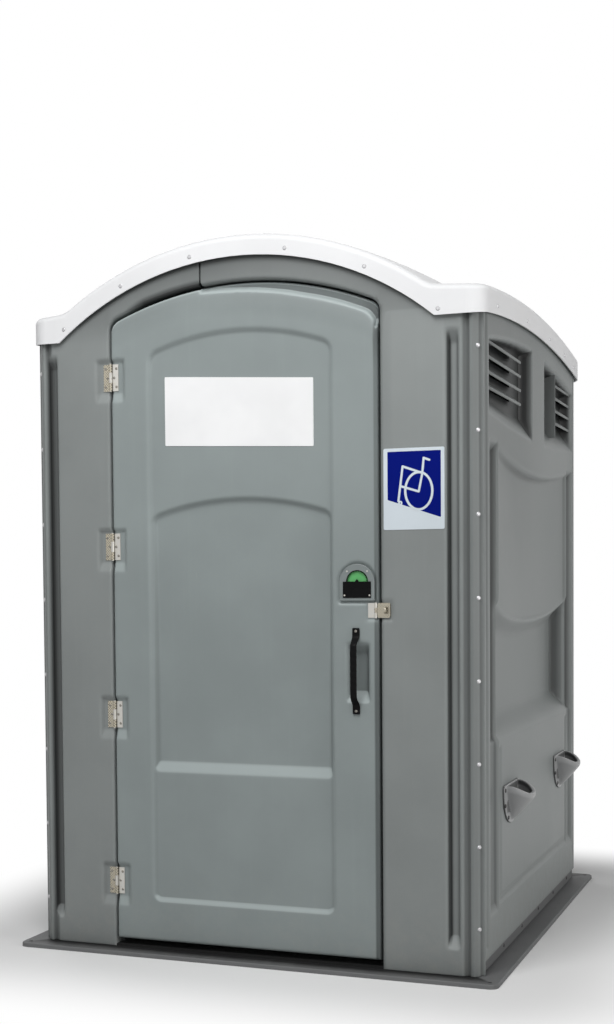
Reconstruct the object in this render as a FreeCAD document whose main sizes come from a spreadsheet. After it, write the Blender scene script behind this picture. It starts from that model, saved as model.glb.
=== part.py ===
import FreeCAD
import Part
import math
import os
from types import SimpleNamespace

import Sketcher

# A portable toilet cabin of the wheelchair-accessible kind, in millimetres.
# +Z is up, the ground is z = 0, the front with the door faces -Y, and the origin
# lies on the ground under the middle of the base pan.

# Driving sizes: alias, millimetres, what it is.
DRIVING_SIZES = [
    ("wall_width", 1536, "outside of the side walls, left to right"),
    ("wall_depth", 1632, "outside of the front panels to outside of the rear wall"),
    ("wall_top", 2108, "upper edge of the side walls, inside the roof apron"),
    ("sheet", 4.5, "gauge of the moulded wall sheets"),
    ("panel_joint", 1, "gap between two neighbouring panels"),
    ("return_lip", 25, "depth of the folded lips behind the wall edges"),
    ("corner_face", 28, "leg of the slanted corner faces that carry the rivets"),
    ("fold_width", 22, "breadth of the groove beside the slanted corner"),
    ("fold_depth", 7, "depth of that groove"),
    ("fold_flank", 5, "run of its slanted flanks"),
    ("fold_edge", 10, "flat strip between the groove and the corner"),
    ("fold_reach", 22, "the fold laps this far behind the front sheet"),
    ("rear_corner", 60, "radius of the rounded rear corners"),
    ("ledge_side", 57, "base flange beyond the side walls"),
    ("ledge_end", 64, "base flange beyond the front and the rear"),
    ("flange_height", 14, "thickness of the ground flange"),
    ("flange_corner", 26, "corner radius of the ground flange"),
    ("curb_inset", 14, "curb face behind the wall face"),
    ("curb_height", 56, "top of the curb that carries the walls"),
    ("curb_breadth", 44, "breadth of the curb"),
    ("floor_height", 22, "top of the floor and of the door sill"),
    ("anchor_bore", 14, "diameter of the four anchor holes"),
    ("anchor_inset", 28, "anchor hole centre in from the flange edges"),
    ("doorway_left", -489, "hinge side edge of the doorway"),
    ("doorway_right", 447, "latch side edge of the doorway"),
    ("doorway_crest", 2193, "highest point of the doorway arch"),
    ("doorway_arch", 1130, "radius of the doorway arch"),
    ("doorway_corner", 48, "radius where the arch meets the sides"),
    ("reveal_depth", 62, "depth of the lining round the doorway"),
    ("arch_middle", -22, "middle of the doorway and roof arches"),
    ("seam_place", -158, "joint of the two front panels above the door"),
    ("door_gap", 5, "gap round the door leaf"),
    ("door_bottom", 42, "lower edge of the door leaf"),
    ("door_shell", 36, "depth of the outer door panel"),
    ("door_back", 4, "gauge of the inner door panel"),
    ("door_round", 8, "rounding of the door edges"),
    ("apron_crest", 2267, "highest point of the roof apron's lower edge"),
    ("apron_arch", 1010, "radius of the roof apron's lower edge"),
    ("apron_height", 67, "height of the apron at the crest"),
    ("apron_foot", 2036, "lower edge of the apron at the corners"),
    ("ear_top", 2132, "top of the flat ears beside the arch"),
    ("roof_overhang", 14, "apron outside of the walls"),
    ("roof_crown", 50, "rise of the roof from front edge to middle"),
    ("roof_sheet", 4, "gauge of the roof"),
    ("roof_corner", 60, "corner radius of the roof"),
    ("roof_round", 20, "rounding of the roof's upper edge"),
    ("wall_lap", 33, "walls reach this far up behind the apron"),
    ("channel_depth", 24, "upright channels beside the doorway"),
    ("channel_width", 39, "breadth of the upright channels"),
    ("channel_foot", 95, "lower end of the upright channels"),
    ("channel_head", 1994, "upper end of the upright channels"),
    ("left_channel", -726, "outer edge of the left channel"),
    ("right_channel", 657, "inner edge of the right channel"),
    ("rivet_radius", 7, "head radius of the blind rivets"),
    ("rivet_rise", 2.6, "head height of the blind rivets"),
    ("rivet_first", 160, "lowest corner rivet"),
    ("rivet_step", 254, "spacing of the corner rivets"),
    ("vent_middle", 94, "half breadth of the plain strip between the vents"),
    ("louvre_start", 300, "inner end of the louvre blocks"),
    ("vent_end", 716, "outer end of the louvre blocks"),
    ("vent_depth", 48, "depth of the vent pockets"),
    ("vent_ramp", 72, "height of the ramp below the vent pockets"),
    ("smile_low", 1695, "lower edge of the vent pockets at mid wall"),
    ("smile_radius", 3800, "radius of that edge"),
    ("vent_head", 2040, "upper edge of the vent pockets at mid wall"),
    ("vent_arch", 4600, "radius of that upper edge"),
    ("blade_first", 1802, "outer edge of the lowest louvre blade"),
    ("blade_pitch", 47, "spacing of the louvre blades"),
    ("blade_gauge", 5, "thickness of a louvre blade"),
    ("blade_face", 10, "blade edge behind the wall face"),
    ("blade_rise", 26, "rise of a blade from its edge to its root"),
    ("belly_half", 586, "half length of the wall's middle field"),
    ("belly_depth", 8, "the middle field is set back this much"),
    ("belly_top", 1600, "upper edge of the middle field at mid wall"),
    ("belly_foot", 1125, "lower edge of the middle field at mid wall"),
    ("belly_arch", 3700, "radius of the middle field's edges"),
    ("shelf_depth", 66, "depth of the long lower recess"),
    ("shelf_foot", 725, "lower edge of the long lower recess"),
    ("shelf_ramp", 70, "height of its bottom ramp"),
    ("groove_inner", 601, "inner edge of the upright wall grooves"),
    ("groove_outer", 710, "outer edge of the upright wall grooves"),
    ("groove_depth", 26, "depth of the upper part of the grooves"),
    ("groove_shallow", 12, "depth of the lower part of the grooves"),
    ("groove_foot", 176, "lower end of the grooves"),
    ("groove_step", 712, "height where the grooves get deeper"),
    ("groove_head", 1664, "upper end of the grooves"),
    ("skirt_top", 183, "upper edge of the flared skirt"),
    ("skirt_flare", 12, "how far the skirt stands out at its foot"),
    ("hinge_leaf", 27, "breadth of a hinge leaf"),
    ("hinge_height", 88, "height of a hinge"),
    ("hinge_gauge", 2.5, "thickness of a hinge leaf"),
    ("hinge_seat", 10, "depth of the hinge recesses"),
    ("hinge_seat_half", 52, "half breadth of the hinge recesses"),
    ("hinge_seat_above", 60, "hinge recess above the hinge middle"),
    ("hinge_seat_below", 86, "hinge recess below the hinge middle"),
    ("hinge_ramp", 38, "height of the ramp below a hinge"),
    ("hinge_lowest", 235, "middle of the lowest hinge"),
    ("hinge_step", 558, "spacing of the hinges"),
    ("knuckle_radius", 5.5, "outside of the hinge knuckles"),
    ("pin_radius", 3, "hinge pins"),
    ("pin_play", 0.05, "radial running clearance of pins and shafts"),
    ("panel_left", -350, "door recess, hinge side"),
    ("panel_right", 292, "door recess, latch side"),
    ("panel_foot", 176, "door recess, lower edge"),
    ("panel_crest", 2041, "door recess, top of its arch"),
    ("panel_arch", 880, "radius of that arch"),
    ("panel_depth", 9, "depth of the door recess"),
    ("field_inset", 8, "deep field of the door, in from the recess edges"),
    ("field_ledge", 604, "foot of the sloped ledge below the deep field"),
    ("field_ramp", 38, "height of the sloped ledge"),
    ("field_crest", 1503, "top of the deep field's arch"),
    ("field_arch", 980, "radius of that arch"),
    ("field_depth", 15, "deep field behind the door recess"),
    ("dial_place", 373, "indicator dial, left to right"),
    ("dial_height", 1229, "indicator dial centre above ground"),
    ("dial_radius", 38, "radius of the indicator disc"),
    ("window_radius", 35, "radius of the half-round window"),
    ("bezel_radius", 57, "round top of the indicator frame"),
    ("bezel_drop", 60, "indicator frame below the dial centre"),
    ("bezel_rise", 10, "indicator frame in front of the door"),
    ("bezel_wall", 4, "gauge of the indicator frame"),
    ("bezel_seat", 5, "depth of the pocket round the indicator frame"),
    ("bezel_margin", 7, "that pocket beyond the frame"),
    ("hasp_seat", 4, "depth of the pocket round the hasp"),
    ("shaft_radius", 5, "shaft of the indicator dial"),
    ("gear_module", 1, "module of the latch pinion and rack"),
    ("gear_backlash", 0.35, "play between the teeth"),
    ("bolt_height", 15, "height of the latch bolt below its teeth"),
    ("bolt_gauge", 9, "thickness of the latch bolt"),
    ("bolt_tip", 436, "tip of the drawn-back bolt"),
    ("bolt_play", 0.4, "clearance round the bolt"),
    ("handle_place", 366, "outer door handle, left to right"),
    ("handle_foot", 814, "lower end of the outer handle"),
    ("handle_length", 270, "length of the outer handle"),
    ("handle_reach", 36, "outer handle in front of the door"),
    ("handle_width", 24, "breadth of the outer handle"),
    ("finger_depth", 26, "depth of the finger recess behind the handle"),
    ("hasp_height", 1139, "middle of the hasp"),
    ("hasp_axis", 431, "hasp pin, left to right"),
    ("hasp_width", 46, "height of the hasp strap"),
    ("cup_setback", 386, "middle of a lifting cup, in from the front or rear face"),
    ("cup_low", 434, "lower end of a lifting cup"),
    ("cup_height", 134, "height of a lifting cup"),
    ("cup_reach", 82, "lifting cup out from the wall"),
    ("cup_width", 230, "flange breadth of a lifting cup"),
    ("cup_mouth", 80, "half breadth of a lifting cup's mouth"),
    ("cup_gauge", 6, "wall of a lifting cup"),
    ("tank_left", -620, "waste tank, left side"),
    ("tank_width", 640, "waste tank, left to right"),
    ("tank_front", 225, "waste tank, front"),
    ("tank_depth", 530, "waste tank, front to rear"),
    ("tank_top", 440, "top of the waste tank"),
    ("tank_wall", 6, "wall of the waste tank"),
    ("seat_width", 370, "toilet seat, left to right"),
    ("seat_length", 400, "toilet seat, front to rear"),
    ("seat_gauge", 20, "thickness of the seat"),
    ("lid_gauge", 10, "thickness of the lid"),
    ("bowl_width", 220, "seat opening, left to right"),
    ("bowl_length", 290, "seat opening, front to rear"),
    ("seat_lean", 96, "angle of the opened lid"),
    ("pipe_radius", 51, "outside of the vent pipe"),
    ("pipe_wall", 3, "wall of the vent pipe"),
    ("pipe_place_x", -540, "vent pipe, left to right"),
    ("pipe_place_y", 695, "vent pipe, front to rear"),
    ("pipe_top", 2325, "top of the vent pipe"),
    ("rail_radius", 16, "grab rail tube"),
    ("rail_stand", 54, "grab rail axis out from its wall"),
    ("rail_height", 870, "grab rail above ground"),
    ("rail_bend", 40, "bend radius of the grab rails"),
    ("rail_flange", 38, "radius of the grab rail flanges"),
    ("base_rivet_first", -470, "foremost base rivet"),
    ("base_rivet_step", 285, "spacing of the base rivets"),
    ("base_rivet_height", 34, "base rivets above ground"),
    ("cup_flange", 5, "thickness of a lifting cup's flange"),
    ("cup_corner", 12, "corner radius of that flange"),
    ("hinge_middle", 34, "length of the middle hinge knuckle"),
    ("hinge_slack", 0.4, "clearance between hinge knuckles"),
    ("panel_corner", 26, "corner radius of the door recesses"),
    ("disc_place", 4.7, "front of the indicator disc before the door"),
    ("disc_gauge", 3, "thickness of the indicator disc"),
    ("keeper_gauge", 2.5, "thickness of the keeper plate"),
    ("hasp_stand", 5, "hasp pin before the door"),
    ("hasp_knuckle", 4.5, "outside of the hasp knuckles"),
    ("hasp_pin", 2.5, "radius of the hasp pin"),
    ("seat_pin", 5, "radius of the seat pin"),
    ("seat_lift", 8, "seat above the tank"),
    ("cup_foot", 12, "foot of a lifting cup's bowl above the flange's lower end"),
    ("cup_lip", 4, "how far the bowl's rim stands beyond its breast"),
    ("cup_nose", 28, "upright part of the bowl's rim at its outer end"),
    ("cup_bolt_side", 13, "cup bolts, in from the sides of the flange"),
    ("cup_bolt_top", 16, "upper cup bolts below the top of the flange"),
    ("cup_bolt_middle", 66, "middle cup bolts below the top of the flange"),
    ("cup_bolt_foot", 24, "lowest cup bolts above the flange's lower end"),
    ("rear_field_outer", 600, "outer edges of the two rear fields"),
    ("rear_field_inner", 62, "inner edges of the two rear fields"),
    ("rear_field_foot", 300, "lower end of the rear fields"),
    ("rear_field_head", 1960, "upper end of the rear fields"),
    ("rear_field_depth", 14, "depth of the rear fields"),
    ("rear_field_draft", 10, "slope of the rear fields' sides"),
    ("rear_field_ramp", 30, "slope at both ends of the rear fields"),
    ("channel_draft", 6, "slope of the upright channels' sides"),
    ("channel_ramp", 40, "slope at both ends of the upright channels"),
    ("hinge_draft", 6, "slope of the hinge recesses' sides"),
    ("hinge_head", 8, "slope at the head of the hinge recesses"),
    ("hasp_seat_left", 33, "pocket round the hasp, to the left of its pin"),
    ("hasp_seat_right", 58, "pocket round the hasp, to the right of its pin"),
    ("hasp_seat_below", 38, "pocket round the hasp, below its middle"),
    ("hasp_seat_above", 34, "pocket round the hasp, above its middle"),
    ("hasp_seat_draft", 4, "slope of that pocket's sides and head"),
    ("hasp_seat_ramp", 12, "slope at the foot of that pocket"),
    ("seat_place", -300, "middle of the toilet seat, left to right"),
    ("seat_hinge_back", 430, "seat hinge behind the front of the tank"),
    ("seat_hinge_rise", 30, "seat hinge above the tank"),
    ("side_rail_front", -300, "front end of the side grab rails"),
    ("side_rail_rear", 520, "rear end of the side grab rails"),
    ("rear_rail_left", -430, "one end of the rear grab rail"),
    ("rear_rail_right", -110, "other end of the rear grab rail"),
    ("paper_place", 60, "middle of the paper holder, front to rear"),
    ("paper_height", 620, "paper holder above ground"),
]

doc = FreeCAD.newDocument("PortableToiletCabin")
sheet = doc.addObject("Spreadsheet::Sheet", "Sizes")
doc.recompute()


class Size:
    """A length that knows its value and the sheet formula it comes from."""

    def __init__(self, value, text):
        self.value = float(value)
        self.text = text

    def __add__(self, other):
        other = as_size(other)
        return Size(self.value + other.value, f"({self.text} + {other.text})")

    def __radd__(self, other):
        return as_size(other) + self

    def __sub__(self, other):
        other = as_size(other)
        return Size(self.value - other.value, f"({self.text} - {other.text})")

    def __rsub__(self, other):
        return as_size(other) - self

    def __mul__(self, other):
        other = as_size(other)
        return Size(self.value * other.value, f"({self.text} * {other.text})")

    def __rmul__(self, other):
        return self * other

    def __truediv__(self, other):
        other = as_size(other)
        return Size(self.value / other.value, f"({self.text} / {other.text})")

    def __neg__(self):
        return Size(-self.value, f"(0 - {self.text})")


def as_size(number):
    if isinstance(number, Size):
        return number
    if number < 0:
        return Size(number, f"(0 - {-number!r})")
    return Size(number, repr(number))


def as_value(number):
    return as_size(number).value


def root(size):
    return Size(math.sqrt(size.value), f"sqrt({size.text})")


def fill_sheet():
    aliases = {}
    for row, (alias, value, meaning) in enumerate(DRIVING_SIZES, start=1):
        sheet.set(f"A{row}", meaning)
        sheet.set(f"B{row}", str(value))
        sheet.setAlias(f"B{row}", alias)
        aliases[alias] = Size(value, f"Sizes.{alias}")
    doc.recompute()
    return SimpleNamespace(**aliases)


s = fill_sheet()

# Places that many pieces share.
side = s.wall_width / 2
front = -s.wall_depth / 2
rear = s.wall_depth / 2
wall_front = front + s.corner_face + 2
wall_rear = rear - s.rear_corner - s.panel_joint
doorway_centre = s.doorway_crest - s.doorway_arch
apron_centre = s.apron_crest - s.apron_arch
hinge_x = s.doorway_left + s.door_gap / 2
hinge_y = front + s.hinge_seat - s.hinge_gauge - s.pin_radius
HINGES = range(4)
door_rear = front + s.door_shell + s.door_back
dial_z = s.dial_height
rack_root = dial_z - s.gear_module * 9.25
rack_foot = rack_root - s.bolt_height
toilet_x = s.seat_place
seat_axis_y = s.tank_front + s.seat_hinge_back
seat_axis_z = s.tank_top + s.seat_hinge_rise

# Widths of a lifting cup's bowl: height above its foot, shares of mouth and reach.
BOWL_ROWS = ((0, 0.4, 0.2), (38, 0.76, 0.74), (74, 0.96, 1))

# The finished sub-parts, by the name of their file.
nodes = {}


def bind(item, prop, size):
    """Tie one property of an object to the sheet."""
    size = as_size(size)
    item.setExpression(prop, size.text)


def move_to(item, x=None, y=None, z=None):
    for letter, size in (("x", x), ("y", y), ("z", z)):
        if size is not None:
            bind(item, f"Placement.Base.{letter}", size)
    return item


def node(name, item):
    """Give a finished sub-part its label and keep it for the export."""
    item.Label = name
    nodes[name] = item
    return item


def box(name, x_range, y_range, z_range):
    item = doc.addObject("Part::Box", name)
    for prop, (low, high) in zip(("Length", "Width", "Height"), (x_range, y_range, z_range)):
        bind(item, prop, as_size(high) - low)
    return move_to(item, x_range[0], y_range[0], z_range[0])


TURN = {
    "X": FreeCAD.Rotation(FreeCAD.Vector(0, 1, 0), 90),
    "Y": FreeCAD.Rotation(FreeCAD.Vector(1, 0, 0), -90),
    "Z": FreeCAD.Rotation(),
}


def rod(name, axis, radius, start, length, x, y, z, tip_radius=None):
    """A round rod, or a cone, along an axis; its own coordinate there is start."""
    if tip_radius is None:
        item = doc.addObject("Part::Cylinder", name)
        bind(item, "Radius", radius)
    else:
        item = doc.addObject("Part::Cone", name)
        bind(item, "Radius1", radius)
        bind(item, "Radius2", tip_radius)
    bind(item, "Height", length)
    item.Placement = FreeCAD.Placement(FreeCAD.Vector(), TURN[axis])
    places = {"X": (start, y, z), "Y": (x, start, z), "Z": (x, y, start)}
    return move_to(item, *places[axis])


def fuse(name, items):
    item = doc.addObject("Part::MultiFuse", name)
    item.Shapes = items
    return item


def cut(name, base, tools):
    item = doc.addObject("Part::Cut", name)
    item.Base = base
    item.Tool = tools[0] if len(tools) == 1 else fuse(name + "Tools", tools)
    return item


def common(name, first, second):
    item = doc.addObject("Part::MultiCommon", name)
    item.Shapes = [first, second]
    return item


def group(name, items):
    """Several separate solids in one node."""
    item = doc.addObject("Part::Compound", name)
    item.Links = items
    return item


def mirrored(name, source, normal=(1, 0, 0)):
    item = doc.addObject("Part::Mirroring", name)
    item.Source = source
    item.Normal = FreeCAD.Vector(*normal)
    return item


def rounded(name, base, radius, choose):
    """Round the edges of a solid that choose() picks."""
    doc.recompute()
    item = doc.addObject("Part::Fillet", name)
    item.Base = base
    value = as_size(radius).value
    item.Edges = [
        (number, value, value)
        for number, edge in enumerate(base.Shape.Edges, start=1)
        if choose(edge)
    ]
    return item


def edge_middle(edge):
    return edge.valueAt((edge.FirstParameter + edge.LastParameter) / 2)


def runs_along(edge, axis):
    ends = [vertex.Point for vertex in edge.Vertexes]
    if len(ends) != 2:
        return False
    way = ends[1] - ends[0]
    across = [abs(way[k]) for k in range(3) if k != axis]
    return max(across) < 1e-4


def edge_at(edge, axis, place, reach=0.01):
    """True where the whole edge lies at one coordinate."""
    box_of_edge = edge.BoundBox
    low = (box_of_edge.XMin, box_of_edge.YMin, box_of_edge.ZMin)[axis]
    high = (box_of_edge.XMax, box_of_edge.YMax, box_of_edge.ZMax)[axis]
    return abs(low - place) < reach and abs(high - place) < reach


# An outline is a list of corners. A corner is (a, b), or (a, b, (ca, cb, r)) where the
# edge to the next corner is the shorter arc of radius r about (ca, cb).


def draw(sketch, corners):
    """Fill a sketch with an outline whose corners and radii are tied to the sheet."""
    starts = []
    count = len(corners)
    points = [FreeCAD.Vector(as_size(c[0]).value, as_size(c[1]).value, 0) for c in corners]
    ends = []
    for index, corner in enumerate(corners):
        first, last = points[index], points[(index + 1) % count]
        if len(corner) == 2:
            number = sketch.addGeometry(Part.LineSegment(first, last), False)
            starts.append((number, 1))
            ends.append((number, 2))
            continue
        centre = FreeCAD.Vector(as_size(corner[2][0]).value, as_size(corner[2][1]).value, 0)
        radius = as_size(corner[2][2])
        outward = (first + last) * 0.5 - centre
        outward.normalize()
        middle = centre + outward * radius.value
        arc = Part.Arc(first, middle, last)
        number = sketch.addGeometry(arc, False)
        forward = sketch.getPoint(number, 1).distanceToPoint(first) < 1e-3
        starts.append((number, 1 if forward else 2))
        ends.append((number, 2 if forward else 1))
        row = sketch.addConstraint(Sketcher.Constraint("Radius", number, radius.value))
        bind(sketch, f"Constraints[{row}]", radius)
    for index, corner in enumerate(corners):
        number, end = starts[index]
        previous = ends[index - 1]
        sketch.addConstraint(Sketcher.Constraint("Coincident", *previous, number, end))
        for kind, size in (("DistanceX", corner[0]), ("DistanceY", corner[1])):
            size = as_size(size)
            row = sketch.addConstraint(Sketcher.Constraint(kind, -1, 1, number, end, size.value))
            bind(sketch, f"Constraints[{row}]", size)


def draw_circle(sketch, a, b, radius):
    a, b, radius = as_size(a), as_size(b), as_size(radius)
    centre = FreeCAD.Vector(a.value, b.value, 0)
    circle = Part.Circle(centre, FreeCAD.Vector(0, 0, 1), radius.value)
    number = sketch.addGeometry(circle, False)
    for constraint, size in (
        (Sketcher.Constraint("DistanceX", -1, 1, number, 3, a.value), a),
        (Sketcher.Constraint("DistanceY", -1, 1, number, 3, b.value), b),
        (Sketcher.Constraint("Radius", number, radius.value), radius),
    ):
        row = sketch.addConstraint(constraint)
        bind(sketch, f"Constraints[{row}]", size)


PLANE_TURN = {
    "XY": FreeCAD.Rotation(),
    "XZ": FreeCAD.Rotation(FreeCAD.Vector(1, 0, 0), 90),
    "YZ": FreeCAD.Rotation(FreeCAD.Vector(1, 1, 1), 120),
}
PLANE_NORMAL = {"XY": (0, 0, 1), "XZ": (0, 1, 0), "YZ": (1, 0, 0)}
PLANE_LETTER = {"XY": "z", "XZ": "y", "YZ": "x"}


def free_sketch(name, plane, corners, height=0):
    sketch = doc.addObject("Sketcher::SketchObject", name)
    sketch.Placement = FreeCAD.Placement(FreeCAD.Vector(), PLANE_TURN[plane])
    move_to(sketch, **{PLANE_LETTER[plane]: height})
    if corners:
        draw(sketch, corners)
    return sketch


def prism(name, plane, corners, low, high, taper=0):
    """An outline carried square to its plane from low to high."""
    sketch = free_sketch(name + "Outline", plane, corners, low)
    item = doc.addObject("Part::Extrusion", name)
    item.Base = sketch
    item.DirMode = "Custom"
    item.Dir = FreeCAD.Vector(*PLANE_NORMAL[plane])
    item.Solid = True
    bind(item, "LengthFwd", as_size(high) - low)
    item.TaperAngle = taper
    return item


def origin_plane(body, plane):
    for feature in body.Origin.OriginFeatures:
        if feature.Role == plane + "_Plane":
            return feature
    return None


def body_sketch(body, name, plane, corners, height=0):
    sketch = body.newObject("Sketcher::SketchObject", name)
    sketch.AttachmentSupport = [(origin_plane(body, plane), "")]
    sketch.MapMode = "FlatFace"
    offset = -as_size(height) if plane == "XZ" else as_size(height)
    bind(sketch, "AttachmentOffset.Base.z", offset)
    if corners:
        draw(sketch, corners)
    return sketch


def pad(body, name, plane, corners, low, high, taper=0):
    """Add an outline carried from low to high to a body."""
    sketch = body_sketch(body, name + "Sketch", plane, corners, low)
    item = body.newObject("PartDesign::Pad", name)
    item.Profile = sketch
    item.Reversed = plane == "XZ"
    bind(item, "Length", as_size(high) - low)
    item.TaperAngle = taper
    return item


def pocket(body, name, plane, corners, low, high, circles=()):
    """Take an outline, carried from low to high, out of a body."""
    sketch = body_sketch(body, name + "Sketch", plane, corners, low)
    for circle in circles:
        draw_circle(sketch, *circle)
    item = body.newObject("PartDesign::Pocket", name)
    item.Profile = sketch
    item.Reversed = plane != "XZ"
    bind(item, "Length", as_size(high) - low)
    return item


def body_fillet(body, name, radius, choose):
    doc.recompute()
    tip = body.Tip
    names = [
        f"Edge{number}"
        for number, edge in enumerate(tip.Shape.Edges, start=1)
        if choose(edge)
    ]
    item = body.newObject("PartDesign::Fillet", name)
    item.Base = (tip, names)
    bind(item, "Radius", radius)
    return item


def rectangle(a_low, a_high, b_low, b_high):
    return [(a_low, b_low), (a_high, b_low), (a_high, b_high), (a_low, b_high)]


def rounded_rectangle(a_low, a_high, b_low, b_high, r):
    return [
        (a_low + r, b_low),
        (a_high - r, b_low, (a_high - r, b_low + r, r)),
        (a_high, b_low + r),
        (a_high, b_high - r, (a_high - r, b_high - r, r)),
        (a_high - r, b_high),
        (a_low + r, b_high, (a_low + r, b_high - r, r)),
        (a_low, b_high - r),
        (a_low, b_low + r, (a_low + r, b_low + r, r)),
    ]


def arched_outline(left, right, foot, middle, centre, radius, corner, foot_corner=None):
    """A rectangle with an arched top about (middle, centre) and rounded corners."""
    run = radius - corner
    places = []
    for edge_place, way in ((right, -1), (left, 1)):
        centre_x = edge_place + corner * way
        offset = centre_x - middle
        centre_z = centre + root(run * run - offset * offset)
        touch_x = middle + offset * radius / run
        touch_z = centre + (centre_z - centre) * radius / run
        places.append((centre_x, centre_z, touch_x, touch_z))
    (right_x, right_z, right_tx, right_tz), (left_x, left_z, left_tx, left_tz) = places
    upper = [
        (right, right_z, (right_x, right_z, corner)),
        (right_tx, right_tz, (middle, centre, radius)),
        (left_tx, left_tz, (left_x, left_z, corner)),
    ]
    if foot_corner is None:
        return [(left, foot), (right, foot)] + upper + [(left, left_z)]
    r = foot_corner
    return [
        (left + r, foot),
        (right - r, foot, (right - r, foot + r, r)),
        (right, foot + r),
    ] + upper + [
        (left, left_z),
        (left, foot + r, (left + r, foot + r, r)),
    ]


def doorway_outline(inset, foot):
    """The doorway, or a like outline inside it."""
    return arched_outline(s.doorway_left + inset, s.doorway_right - inset, foot,
                          s.arch_middle, doorway_centre, s.doorway_arch - inset,
                          s.doorway_corner - inset)


def end_wall_outline(half, foot):
    """Front or rear sheet: flat ears, and an arch that follows the roof."""
    radius = s.apron_arch + s.wall_lap
    rise = s.wall_top - apron_centre
    reach = root(radius * radius - rise * rise)
    return [
        (-half, foot),
        (half, foot),
        (half, s.wall_top),
        (s.arch_middle + reach, s.wall_top, (s.arch_middle, apron_centre, radius)),
        (s.arch_middle - reach, s.wall_top),
        (-half, s.wall_top),
    ]


def front_recess(name, x_range, z_range, depth, side_draft, low_ramp, high_ramp, grow=0, sign=1):
    """A recess with sloped sides in the front face, or in the rear face with sign -1."""
    item = doc.addObject("Part::Wedge", name)
    (x_low, x_high), (z_low, z_high) = x_range, z_range
    limits = {
        "Xmin": as_size(x_low) - grow,
        "Xmax": as_size(x_high) + grow,
        "Zmin": as_size(z_low) - grow,
        "Zmax": as_size(z_high) + grow,
        "X2min": as_size(x_low) + side_draft - grow,
        "X2max": as_size(x_high) - side_draft + grow,
        "Z2min": as_size(z_low) + low_ramp - grow,
        "Z2max": as_size(z_high) - high_ramp + grow,
        "Ymax": as_size(depth) + grow,
    }
    for prop, size in limits.items():
        bind(item, prop, size)
    bind(item, "Ymin", 0)
    if sign < 0:
        turned = mirrored(name + "Turned", item, (0, 1, 0))
        return move_to(turned, y=rear)
    return move_to(item, y=front)


def side_recess(name, y_range, z_range, depth, end_draft, low_ramp, high_ramp, grow=0):
    """A recess with sloped sides in the right wall's outer face."""
    item = front_recess(name, y_range, z_range, depth, end_draft, low_ramp, high_ramp, grow)
    item.Placement = FreeCAD.Placement(
        FreeCAD.Vector(), FreeCAD.Rotation(FreeCAD.Vector(0, 0, 1), 90)
    )
    item.setExpression("Placement.Base.y", None)
    return move_to(item, x=side)


def base_pan():
    """Moulded floor with its ground flange, its curb and the door sill."""
    body = doc.addObject("PartDesign::Body", "BasePan")
    half_x, half_y = side + s.ledge_side, rear + s.ledge_end
    outline = rounded_rectangle(-half_x, half_x, -half_y, half_y, s.flange_corner)
    pad(body, "Flange", "XY", outline, 0, s.flange_height)
    curb_x = side - s.curb_inset
    curb_front = front + s.sheet
    curb_rear = rear - s.curb_inset
    pad(body, "Curb", "XY", rectangle(-curb_x, curb_x, curb_front, curb_rear),
        s.flange_height, s.curb_height)
    inner_x = curb_x - s.curb_breadth
    pocket(body, "FloorWell", "XY",
           rectangle(-inner_x, inner_x, curb_front + s.curb_breadth, curb_rear - s.curb_breadth),
           s.floor_height, s.curb_height + 1)
    sill_front = curb_front - 1
    pocket(body, "Sill", "XY",
           rectangle(s.doorway_left - s.sheet, s.doorway_right + s.sheet, sill_front,
                     curb_front + s.curb_breadth + 1),
           s.floor_height, s.curb_height + 1)
    corner_x = side - s.corner_face - s.fold_width - s.fold_reach
    for number, way in enumerate((-1, 1)):
        x_range = (corner_x * way, (curb_x + 1) * way)
        pocket(body, f"FoldRelief{number}", "XY",
               rectangle(min(x_range, key=as_value), max(x_range, key=as_value), sill_front,
                         front + s.corner_face + s.sheet),
               s.flange_height, s.curb_height + 1)
    anchor_x = half_x - s.anchor_inset
    anchor_y = half_y - s.anchor_inset
    circles = [(anchor_x * a, anchor_y * b, s.anchor_bore / 2) for a in (-1, 1) for b in (-1, 1)]
    pocket(body, "AnchorHoles", "XY", None, -1, s.flange_height + 1, circles)
    top = s.flange_height.value
    body_fillet(body, "FlangeEdge", 4,
                lambda e: edge_at(e, 2, top) and (
                    abs(edge_middle(e).x) > half_x.value - 12 or abs(edge_middle(e).y) > half_y.value - 12)
                and not (len(e.Vertexes) == 1))
    return node("base_pan", body)


def corner_wrap(name, sign):
    """Plan outline of the folded corner beside the front face."""
    gauge = s.sheet
    slant = gauge * math.sqrt(2)
    miter = gauge * 0.4
    edge_x = side - s.corner_face
    lip_y = front + s.corner_face + s.panel_joint
    groove_end = edge_x - s.fold_edge
    groove_start = groove_end - s.fold_width
    start = groove_start - s.fold_reach / 2
    deep = front + s.fold_depth
    corners = [
        (start, front),
        (groove_start, front),
        (groove_start + s.fold_flank, deep),
        (groove_end - s.fold_flank, deep),
        (groove_end, front),
        (edge_x, front),
        (side, front + s.corner_face),
        (side, lip_y),
        (edge_x, lip_y),
        (edge_x, lip_y - gauge),
        (edge_x - slant + lip_y - gauge - front, lip_y - gauge),
        (edge_x - slant + gauge, front + gauge),
        (groove_end + miter, front + gauge),
        (groove_end - s.fold_flank + miter, deep + gauge),
        (groove_start + s.fold_flank - miter, deep + gauge),
        (groove_start - miter, front + gauge),
        (start, front + gauge),
    ]
    outline = [(x * sign, y) for x, y in corners]
    return prism(name, "XY", outline, s.flange_height, s.wall_top)


def hinge_height(index):
    return s.hinge_lowest + s.hinge_step * index


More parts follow.
